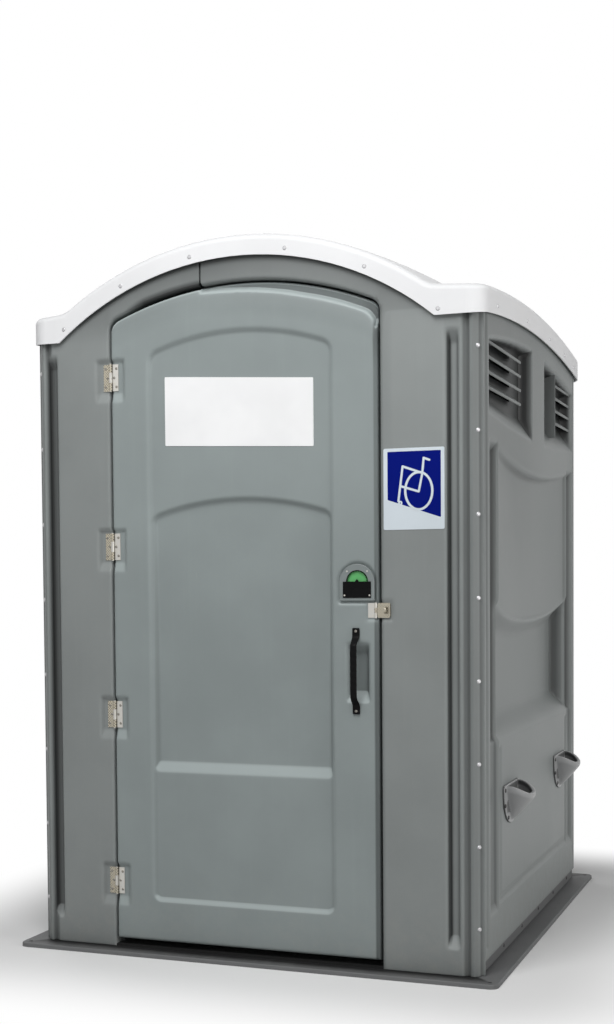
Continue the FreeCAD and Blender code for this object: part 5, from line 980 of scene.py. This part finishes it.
class CABIN_OT_front_panels(PieceOperator, bpy.types.Operator):
    """Mould both front panels with the doorway lining, channels and folded corners"""

    bl_idname = "cabin.front_panels"
    bl_label = "Front Panels"

    def execute(self, context):
        step, soft = sizes().mesh_step, sizes().soft_edge
        relief = Relief((-0.79, 0.79), (0.0, 2.36), panel_depth, soft, panel_painted_shading)
        cut_back = CORNER_ROUND * math.tan(pi / 8)
        slant = CORNER_SLANT * math.sqrt(2) - 2 * cut_back
        quarter = CORNER_ROUND * pi / 4
        wall = Wall((0, FRONT, 0), (1, 0, 0), (0, -1, 0), CORNER_FLAT - cut_back,
                    ((quarter, pi / 4), (slant, 0), (quarter, pi / 4)))
        bends = np.concatenate([np.linspace(0, quarter, 4),
                                np.linspace(quarter, quarter + slant, 5)[1:],
                                np.linspace(quarter + slant, quarter * 2 + slant, 4)[1:]])
        bends = wall.flat + quarter * 2 + slant - bends
        stations = doorway_stations(JAMB_ROUND, step)
        share = np.linspace(0, 1, 22)
        flange = (0.003, 0.022)
        for sign, node in ((-1, "front_left_panel"), (1, "front_right_panel")):
            inner, outer = ("right", "left") if sign < 0 else ("left", "right")
            edge = stations[0 if sign < 0 else -1]
            spring = doorway_top([edge], JAMB_ROUND)[0][0]
            columns = np.concatenate([spread(abs(edge), wall.flat, step), bends])
            columns = np.sort(np.unique(np.round(columns, 7)) * sign)
            low = np.meshgrid(columns, spread(PANEL_FOOT, spring, step * 1.15), indexing="ij")
            skin = Skin(wall, relief)
            skin.patch(low, foot=(0.003, 0.012), skip=self.bolt_slot,
                       **{inner: (JAMB_ROUND, LINING_BACK, BOLT_SLOT[1]), outer: flange})
            skin.patch(upright(columns, spring, panel_top(columns), share), **{outer: flange})
            over = stations[(stations - SEAM) * sign > SEAM_HALF]
            over = np.sort(np.append(over, SEAM + SEAM_HALF * sign))
            lower, way = doorway_top(over, JAMB_ROUND)
            skin.patch(upright(over, lower, panel_top(over), share), foot_way=-way,
                       foot=(JAMB_ROUND, LINING_BACK), **{inner: (0.003, 0.030)})
            skin.build(f"{node}_skin", "wall_sheet", "cabin", "wall_plastic", node)
        return {"FINISHED"}

    def bolt_slot(self, u, v, depth):
        """Where the lining of the right jamb is open for the latch bolt."""
        up, back = BOLT_SLOT
        return (v > up[0]) & (v < up[1]) & (depth > back[0]) & (depth < back[1]) & (u > 0.4)


class CABIN_OT_door_leaf(PieceOperator, bpy.types.Operator):
    """Mould the outer leaf of the door with its fields, pockets and rounded edge"""

    bl_idname = "cabin.door_leaf"
    bl_label = "Door Leaf"

    def execute(self, context):
        step = sizes().mesh_step
        relief = Relief((-0.50, 0.46), (0.0, 2.22), door_depth, sizes().soft_edge, door_painted_shading)
        skin = Skin(Wall((0, FRONT, 0), (1, 0, 0), (0, -1, 0)), relief)
        grow = -(DOOR_GAP + DOOR_RIM)
        stations = np.append(doorway_stations(grow, step), (SEAM - 0.0005, SEAM + 0.0005))
        stations = np.sort(stations)
        tops, way = doorway_top(stations, grow, np.where(stations < SEAM, DOOR_DROP, 0.0))
        turn = 1.55
        low = np.meshgrid(stations, spread(DOOR_FOOT + DOOR_RIM, turn, step), indexing="ij")
        share = np.linspace(0, 1, int((tops.max() - turn) / step) + 2)[1:]
        core = np.concatenate([low, upright(stations, turn, tops, share)], axis=2)
        rim = (DOOR_RIM, DOOR_BACK)
        skin.patch(core, left=rim, right=rim, foot=rim, head=rim, head_way=way)
        skin.build("door_outer_skin", "door_sheet", "door", "door_plastic", "door_outer_panel")
        dress("door_sheet", None, "door_inner_panel")
        return {"FINISHED"}


class CABIN_OT_side_walls(PieceOperator, bpy.types.Operator):
    """Mould both side walls and put louvre blades in their vent pockets"""

    bl_idname = "cabin.side_walls"
    bl_label = "Side Walls"

    def execute(self, context):
        step, soft = sizes().mesh_step * 1.15, sizes().soft_edge * 1.1
        for sign, node in ((1, "right_wall"), (-1, "left_wall")):
            relief = Relief((-0.80, 0.80), (0.0, 2.2), lambda u, z: side_depth(u * sign, z),
                            soft, lambda u, z: side_painted_shading(u * sign, z))
            skin = Skin(Wall((SIDE * sign, 0, 0), (0, sign, 0), (sign, 0, 0)), relief)
            columns = np.sort(spread(*SIDE_ENDS, step) * sign)
            core = np.meshgrid(columns, spread(SKIRT_FOOT, SIDE_HEAD, step), indexing="ij")
            rim = (0.004, 0.026)
            skin.patch(core, left=rim, right=rim, foot=(0.0035, 0.02), head=(0.002, 0.006),
                       skip=lambda u, v, depth: self.slots(u * sign, v))
            skin.build(f"{node}_skin", "side_sheet", "cabin", "wall_plastic", node)
            if sizes().louvres:
                self.blades(sign)
        return {"FINISHED"}

    def slots(self, y, z):
        """Where a vent pocket is open between its blades."""
        inside = np.zeros(y.shape, bool)
        for low, high in VENT_BLADES:
            inside |= (y > low + SLOT_END) & (y < high - SLOT_END)
        row = (z - BLADE_FIRST - 0.012) % BLADE_STEP
        return inside & (z > BLADE_FIRST + 0.005) & (z < SLOT_HEAD) & (row < SLOT_HIGH)

    def blades(self, sign):
        """Sloped blades with rounded noses, and a thin end plate at the inner end of the rear
        pocket.
        """
        form = bmesh.new()
        for low, high in VENT_BLADES:
            for row in range(BLADE_COUNT):
                z = BLADE_FIRST + BLADE_STEP * row
                outline = [(SIDE - BLADE_NOSE + 0.003 * sin(pi * k / 6),
                            z + 0.001 - 0.005 * cos(pi * k / 6)) for k in range(7)]
                outline += [(SIDE - BLADE_BACK, z + 0.032), (SIDE - BLADE_BACK, z + 0.026)]
                loft(form, [[form.verts.new(((x - shrink) * sign, y, h)) for x, h in outline]
                            for y, shrink in ((low, 0.0012), (low + 0.002, 0.0),
                                              (high - 0.002, 0.0), (high, 0.0012))])
            if low > 0:
                self.cheek(form, low, sign)
        name = f"louvre_blades_{'right' if sign > 0 else 'left'}"
        place_piece(name, mesh_of(form, name), "louvre_sheet", "cabin",
                    smooth=40)

    def cheek(self, form, y, sign):
        """Upright plate at the inner ends of the blades, with a rounded front edge."""
        front, back, half = SIDE - 0.009, SIDE - 0.048, 0.0025
        outline = [(back, -half), (front, -half)]
        outline += [(front + half * sin(pi * k / 6), -half * cos(pi * k / 6))
                    for k in range(1, 6)]
        outline += [(front, half), (back, half)]
        loft(form, [[form.verts.new((x * sign, y + across, z)) for x, across in outline]
                    for z in (1.772, 1.80, 1.90, 2.0, 2.03)])


class CABIN_OT_rear_wall(PieceOperator, bpy.types.Operator):
    """Mould the rear wall with its rounded corners and two tall fields"""

    bl_idname = "cabin.rear_wall"
    bl_label = "Rear Wall"

    def execute(self, context):
        step, soft = sizes().mesh_step * 1.3, sizes().soft_edge * 1.3
        relief = Relief((-0.74, 0.74), (0.0, 2.36), lambda u, z: tubs(u, z, REAR_FIELDS), soft)
        bend = REAR_ROUND * pi / 2
        skin = Skin(Wall((0, REAR, 0), (-1, 0, 0), (0, 1, 0), REAR_FLAT, ((bend, pi / 2),)),
                    relief)
        arc = np.linspace(0, bend, 12)
        columns = np.concatenate([-REAR_FLAT - arc[:0:-1], spread(-REAR_FLAT, REAR_FLAT, step),
                                  REAR_FLAT + arc[1:]])
        tops = np.where(np.abs(columns) > REAR_FLAT, WALL_HEAD, panel_top(-columns))
        turn = 2.0
        low = np.meshgrid(columns, spread(SKIRT_FOOT, turn, step), indexing="ij")
        high = upright(columns, turn, tops, np.linspace(0, 1, 30)[1:])
        rim = (0.003, 0.024)
        skin.patch(np.concatenate([low, high], axis=2), left=rim, right=rim,
                   foot=(0.0035, 0.02))
        skin.build("rear_wall_skin", "wall_sheet", "cabin", "wall_plastic", "rear_wall")
        return {"FINISHED"}


class CABIN_OT_roof_and_base(PieceOperator, bpy.types.Operator):
    """Finish the roof, its strips and rivets, the base pan and the bolts of the cups"""

    bl_idname = "cabin.roof_and_base"
    bl_label = "Roof and Base"

    def execute(self, context):
        dress("roof_sheet", 0.0, "roof")
        dress("strip_plastic", None, "eave_strips")
        dress("base_sheet", 0.002, "base_pan")
        dress("rivet_alloy", 0.0004, "roof_rivets", "corner_rivets")
        dress("dull_rivet", 0.0004, "base_rivets", "cup_bolts")
        return {"FINISHED"}


class CABIN_OT_hardware(PieceOperator, bpy.types.Operator):
    """Finish the hinges, the latch, the hasp and the handles"""

    bl_idname = "cabin.hardware"
    bl_label = "Door Hardware"

    def execute(self, context):
        leaves = {kind: [n for n in NODES if n.startswith(f"hinge_{kind}_leaf")]
                  for kind in ("frame", "door")}
        dress("pierced_zinc", 0.0006, *leaves["frame"], "hasp_strap", "hasp_staple")
        dress("zinc_plate", 0.0006, *leaves["door"], "keeper_plate", "hasp_base")
        dress("zinc_plate", 0.0003, "hinge_pins", "hasp_pin", "keeper_screws",
              "indicator_rivets")
        dress("screw_zinc", 0.0003, "hinge_frame_screws", "hinge_door_screws",
              "handle_screws")
        dress("black_plastic", 0.003, "inner_pull")
        self.handle()
        self.window_teeth()
        dress("bezel_plastic", 0.0012, "latch_bezel")
        dress("black_plastic", 0.001, "indicator_cover", "latch_case", "latch_bolt")
        dress("gear_plastic", 0.0002, "dial_pinion")
        dress("dial_plastic", 0.0004, "indicator_dial")
        return {"FINISHED"}

    def handle(self):
        """Bowed pull handle swept along a smooth path, with finger ribs on its grip."""
        low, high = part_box("door_handle")
        half, back, out = (high[0] - low[0]) / 2, high[1], low[1]
        stations, sides = 96, 20
        rib_high, rib_long, grip, end = 0.0014, 0.08, (0.26, 0.74), 0.012
        turns = [2 * pi * j / sides for j in range(sides)]
        section = [[math.copysign(abs(way) ** 0.5, way) for way in (cos(a), sin(a))]
                   for a in turns]
        form, rings = bmesh.new(), []
        for k in range(stations + 1):
            t = k / stations
            z = low[2] + (high[2] - low[2]) * t
            near = min(t, 1 - t)
            bow = float(eased(ramp(near - 0.085, 0.125)))
            face = back - 0.006 + (out - back + 0.0075) * bow
            if grip[0] < t < grip[1]:
                face -= rib_high * abs(sin(pi * (t - grip[0]) / rib_long))
            face = max(face, out + 0.0002)
            thick, wide = 0.0055 + 0.004 * bow, half * (1 - 0.16 * bow)
            if near < end:
                wide *= 0.86 + 0.14 * near / end
            rings.append([form.verts.new((low[0] + half + across * wide,
                                          min(face + (1 + depth) * thick / 2, back), z))
                          for across, depth in section])
        loft(form, rings)
        place_piece("door_handle_form", mesh_of(form, "door_handle_form"), "black_plastic",
                    "door", "door_handle", smooth=50)

    def window_teeth(self):
        """Dark toothed edge and pointer round the window of the indicator."""
        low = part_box("indicator_cover")[0]
        teeth = Print((DIAL[0] - 0.002, low[1] + 0.002, DIAL[1]))
        arcs, tips, radius, gap, tip = 24, 38, 35.5, 33.2, 31.0
        outer = [(radius * cos(pi * k / arcs), radius * sin(pi * k / arcs))
                 for k in range(arcs + 1)]
        inner = []
        for k in range(tips + 1):
            reach, a = tip if k % 2 else gap, pi * (1 - k / tips)
            inner.append((reach * cos(a), reach * sin(a)))
        for k in range(arcs):
            first, last = (int((arcs - j) * tips / arcs) for j in (k + 1, k))
            teeth.layer([outer[k], outer[k + 1]] + inner[first:last + 1], 0.0006)
        teeth.layer([(7, -3), (4.5, 3), (0, 8), (-4.5, 3), (-7, -3)], 0.0022)
        teeth.build("indicator_window_teeth", "black_plastic", "door", "black_plastic")


class CABIN_OT_interior(PieceOperator, bpy.types.Operator):
    """Finish the tank, the seat, the pipe, the rails and the paper holder"""

    bl_idname = "cabin.interior"
    bl_label = "Interior"

    def execute(self, context):
        dress("tank_plastic", 0.0025, "waste_tank", "tank_deck", "toilet_seat", "toilet_lid")
        dress("black_plastic", 0.001, "seat_hinge", "paper_holder")
        dress("pipe_plastic", 0.001, "vent_pipe", "vent_cap")
        dress("drawn_tube", 0.0, *(n for n in NODES if "grab_rail" in n))
        dress("zinc_plate", 0.0003, "rail_screws")
        return {"FINISHED"}


class CABIN_OT_lifting_cups(PieceOperator, bpy.types.Operator):
    """Form the lifting cups: a shield flange that swells into a thick-rimmed scoop"""

    bl_idname = "cabin.lifting_cups"
    bl_label = "Lifting Cups"

    def execute(self, context):
        for node in sorted(n for n in NODES if n.startswith("lifting_cup_")):
            low, high = (Vector(corner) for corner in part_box(node))
            sign = 1 if low.x > 0 else -1
            wall = Vector((SIDE * sign, (low.y + high.y) / 2, low.z))
            form = bmesh.new()
            self.scoop(form, wall, sign, high - low)
            self.flange(form, wall, sign, high - low)
            data = self.softened(form)
            self.fit(data, low, high)
            self.shade(data, wall, sign)
            place_piece(f"{node}_form", data, "cup_plastic", "cabin", node)
        return {"FINISHED"}

    def flange(self, form, wall, sign, size):
        """Slab with a straight head and a half-round foot."""
        half, head, round_off, thick = size.y / 2, size.z, 0.012, 0.0062
        outline = [(half, head - round_off * 2)]
        outline += [(half - round_off * (1 - sin(t)), head - round_off * (1 - cos(t)))
                    for t in (pi / 8 * k for k in range(4, -1, -1))]
        outline += [(-y, z) for y, z in reversed(outline)]
        outline += [(-half * cos(t), (head - round_off * 2) * (1 - sin(t)))
                    for t in (pi * k / 32 for k in range(1, 32))]
        loft(form, [[form.verts.new(wall + Vector((out * sign, y, z))) for y, z in outline]
                    for out in (0.0, thick)])

    def scoop(self, form, wall, sign, size):
        """Half bowl with a thick rim that dips in the middle, as one closed shell."""
        rise, arc, thick = 16, 36, 0.014
        ways = [(cos(pi * j / arc), sin(pi * j / arc)) for j in range(arc + 1)]
        shells = []
        for inset in (0.0, thick):
            rows, foot = [], 0.012 + inset
            for t in (k / rise for k in range(rise + 1)):
                swell = 0.12 + 0.88 * min(1, t / 0.84) ** 0.85
                half = max(0.092 * swell ** 0.8 - inset, 0.001)
                reach = max((size.x - 0.0012) * swell - inset, 0.001)
                row = []
                for c, s in ways:
                    rim = size.z * (0.76 + 0.22 * abs(c) ** 2.6)
                    row.append(form.verts.new(wall + Vector((
                        (s ** 0.8 * reach + 0.001) * sign,
                        math.copysign(abs(c) ** 0.9, c) * half, foot + (rim - foot) * t))))
                rows.append(row)
            shells.append(rows)
        for rows in shells:
            self.strips(form, rows)
            form.faces.new(rows[0])
        outer, inner = shells
        self.strips(form, [outer[-1], inner[-1]])
        for j in (0, arc):
            self.strips(form, [[row[j] for row in rows] for rows in shells])
        form.faces.new((outer[0][0], outer[0][arc], inner[0][arc], inner[0][0]))

    def strips(self, form, rows):
        """Open rows of quads between rows of vertices."""
        for a, b in zip(rows, rows[1:]):
            for j in range(len(a) - 1):
                form.faces.new((a[j], a[j + 1], b[j + 1], b[j]))

    def softened(self, form):
        """The joined shells after voxel remeshing and smoothing, as plain data."""
        draft = link(bpy.data.objects.new("cup_draft", mesh_of(form, "cup")))
        remesh = draft.modifiers.new("Join", "REMESH")
        remesh.mode, remesh.voxel_size = "VOXEL", 0.0024
        smooth = draft.modifiers.new("Soften", "SMOOTH")
        smooth.factor, smooth.iterations = 0.5, 9
        graph = bpy.context.evaluated_depsgraph_get()
        made = bpy.data.meshes.new_from_object(draft.evaluated_get(graph))
        bpy.data.objects.remove(draft)
        return made

    def shade(self, data, wall, sign):
        """Paints shade inside the scoop, along the flange's edge and in its hollow, as painted
        shading.
        """
        marks = data.attributes.new("cavity", "FLOAT", "POINT")
        values = []
        for vertex in data.vertices:
            spot, normal = vertex.co - wall, vertex.normal
            out, across = spot.x * sign, spot.y
            away = math.hypot(out, across) or 1.0
            inward = -(normal.x * sign * out + normal.y * across) / away
            value = min(max(inward * 2.6, 0.0), 1.35)
            # Painted shadow along the flange's edge.
            if out < 0.0058 and abs(normal.y) + abs(normal.z) > 0.45:
                value = 1.0
            if out < 0.011 and abs(across) < 0.076 and 0.04 < spot.z < 0.128:
                value = 0.9
            values.append(value)
        marks.data.foreach_set("value", values)

    def fit(self, data, low, high):
        """Stretches a mesh so that it fills a box."""
        spots = np.empty(len(data.vertices) * 3)
        data.vertices.foreach_get("co", spots)
        spots = spots.reshape(-1, 3)
        spots = (spots - spots.min(axis=0)) / np.ptp(spots, axis=0)
        spots = np.array(low) + spots * np.array(high - low)
        data.vertices.foreach_set("co", spots.ravel())
        data.update()


class CABIN_OT_signs(PieceOperator, bpy.types.Operator):
    """Stick the access sign on the right jamb and the bare plate on the door"""

    bl_idname = "cabin.signs"
    bl_label = "Signs"

    def execute(self, context):
        origin = (0.458, FRONT + 0.0003, 1.387)
        sheet, field, mark = Print(origin), Print(origin), Print(origin)
        sheet.layer(rounded_outline(((0, 0), (194, 0), (194, 250), (0, 250)), 5), 0.0016)
        sheet.build("access_sign_sheet", "sign_pale_print", "cabin", "dial_plastic")
        field.layer(rounded_outline(((13, 92), (183, 36), (183, 240), (13, 240)), 2.5),
                    0.0018, 0.0014)
        field.build("access_sign_field", "sign_dark_field", "cabin", "dial_plastic")
        bars = (((147, 211), (129, 218)), ((129, 218), (124, 169)), ((124, 169), (113, 116)),
                ((113, 116), (54, 134)), ((62, 194), (48, 88)), ((62, 194), (124, 172)))
        for k, (start, end) in enumerate(bars):
            mark.stroke(start, end, 7, 0.00205 + 0.00001 * k, 0.0016)
        mark.ring((113, 118), (43, 57), 7.5, 0.00212, 0.0016)
        mark.ring((54, 82), (4.2, 4.6), 5, 0.00214, 0.0016, 20)
        mark.build("access_sign_mark", "sign_pale_print", "cabin", "dial_plastic")
        plate = Print((0.0, FRONT + 0.0093, 0.0))
        corners = ((-290, 1677), (226, 1656), (226, 1871), (-290, 1901))
        plate.layer(rounded_outline(corners, 3), 0.0022)
        plate.build("door_plate", "plate_white", "door", "dial_plastic")
        return {"FINISHED"}


class CABIN_OT_stage(PieceOperator, bpy.types.Operator):
    """Set up the pale floor, the soft lamps, the background and the camera"""

    bl_idname = "cabin.stage"
    bl_label = "Stage"

    def execute(self, context):
        self.floor()
        self.lamps()
        self.background(context.scene)
        self.camera(context.scene)
        context.scene.view_settings.view_transform = "Standard"
        return {"FINISHED"}

    def floor(self):
        """Pale floor that turns into the white background some way off the cabin."""
        form = bmesh.new()
        bmesh.ops.create_grid(form, x_segments=2, y_segments=2, size=40)
        data = bpy.data.meshes.new("studio_floor")
        form.to_mesh(data)
        form.free()
        floor = link(bpy.data.objects.new("studio_floor", data))
        n = Finish("studio_floor")
        place = n.place()
        n.wire(n.surface, Roughness=0.9, Specular_IOR_Level=0.1,
               Base_Color=n.mix(n.noise(place, 3.0), (0.86, 0.86, 0.86), (0.88, 0.88, 0.88)))
        parts = n.axes(place)
        off = [n.math("MAXIMUM", n.math("SUBTRACT", n.math("ABSOLUTE", parts[k]), half), 0.0)
               for k, half in enumerate((0.80, 0.84))]
        squares = [n.math("POWER", part, 2.0) for part in off]
        away = n.math("SQRT", n.math("ADD", *squares))
        white = n.add("Emission", Color=(1, 1, 1, 1), Strength=1.0)
        mixed = n.add("MixShader", i1=n.surface.outputs[0], i2=white.outputs[0],
                      i0=n.math("MULTIPLY", n.span(away, 0.12, 0.75), n.seen()))
        n.wire(n.output, Surface=mixed.outputs[0])
        data.materials.append(n.material)

    def lamps(self):
        for name, place, target, width, power, colour in (
                ("top_softbox", (0.3, -3.0, 4.3), (0.1, -0.7, 1.7), 2.6, 114, (1.0, 1.0, 1.0)),
                ("key_softbox", (-2.6, -6.4, 3.6), (0.0, -0.8, 1.2), 3.0, 18, (1.0, 1.0, 1.0)),
                ("fill_softbox", (5.8, -1.4, 1.9), (0.7, 0.0, 0.9), 3.2, 112,
                 (1.0, 0.99, 0.98)),
                ("rim_softbox", (-4.6, 3.2, 4.8), (0.0, 0.5, 1.6), 3.2, 52,
                 (0.98, 0.99, 1.0))):
            lamp = bpy.data.lights.new(name, "AREA")
            lamp.shape = "DISK"
            lamp.size, lamp.energy, lamp.color = width, power, colour
            made = link(bpy.data.objects.new(name, lamp))
            made.location = place
            way = Vector(target) - Vector(place)
            made.rotation_euler = way.to_track_quat("-Z", "Y").to_euler()

    def background(self, scene):
        """Soft even light that the camera sees as plain white."""
        scene.world = bpy.data.worlds.new("studio")
        scene.world.use_nodes = True
        n = Nodes(scene.world.node_tree)
        n.tree.nodes.clear()
        soft, plain = (n.add("Background", Color=(1, 1, 1, 1), Strength=strength).outputs[0]
                       for strength in (0.18, 1.0))
        mixed = n.add("MixShader", i0=n.seen(), i1=soft, i2=plain)
        n.add("OutputWorld", Surface=mixed.outputs[0])

    def camera(self, scene):
        """The camera that the photo's straight edges gave."""
        focal, shift, width = 1437.107, (-0.679, 130.504), 1024
        data = bpy.data.cameras.new("studio_camera")
        data.sensor_width = 36.0
        data.lens = focal * data.sensor_width / width
        data.shift_x, data.shift_y = (part / width for part in shift)
        data.clip_end = 100
        camera = link(bpy.data.objects.new("studio_camera", data))
        yaw, pitch, roll = -0.356229, -0.0394767, -0.00759088
        ahead = Vector((sin(yaw) * cos(pitch), cos(yaw) * cos(pitch), sin(pitch)))
        level = Vector((cos(yaw), -sin(yaw), 0))
        upward = level.cross(ahead)
        right = level * cos(roll) + upward * sin(roll)
        up = upward * cos(roll) - level * sin(roll)
        pose = Matrix((right, up, -ahead)).transposed().to_4x4()
        pose.translation = (1.78795, -5.07266, 1.21709)
        camera.matrix_world = pose
        scene.camera = camera


class CABIN_PT_panel(bpy.types.Panel):
    """Lists the cabin's settings and operators"""

    bl_idname = "CABIN_PT_panel"
    bl_label = "Portable Toilet Cabin"
    bl_space_type = "VIEW_3D"
    bl_region_type = "UI"
    bl_category = "Cabin"

    def draw(self, context):
        layout = self.layout
        for group, kind in ((context.scene.cabin_sizes, CabinSizes),
                            (context.scene.cabin_colours, CabinColours)):
            column = layout.column()
            for key in kind.__annotations__:
                column.prop(group, key)
        for operator in OPERATORS:
            layout.operator(operator.bl_idname)


OPERATORS = (
    CABIN_OT_front_panels,
    CABIN_OT_door_leaf,
    CABIN_OT_side_walls,
    CABIN_OT_rear_wall,
    CABIN_OT_roof_and_base,
    CABIN_OT_hardware,
    CABIN_OT_interior,
    CABIN_OT_lifting_cups,
    CABIN_OT_signs,
    CABIN_OT_stage,
)
CLASSES = (CabinColours, CabinSizes) + OPERATORS + (CABIN_PT_panel,)


def register():
    for kind in CLASSES:
        bpy.utils.register_class(kind)
    bpy.types.Scene.cabin_colours = PointerProperty(type=CabinColours)
    bpy.types.Scene.cabin_sizes = PointerProperty(type=CabinSizes)


def unregister():
    del bpy.types.Scene.cabin_sizes
    del bpy.types.Scene.cabin_colours
    for kind in reversed(CLASSES):
        bpy.utils.unregister_class(kind)


def main():
    register()
    for operator in OPERATORS:
        getattr(bpy.ops.cabin, operator.bl_idname.split(".")[1])()
    bpy.context.view_layer.update()


if __name__ == "__main__":
    main()
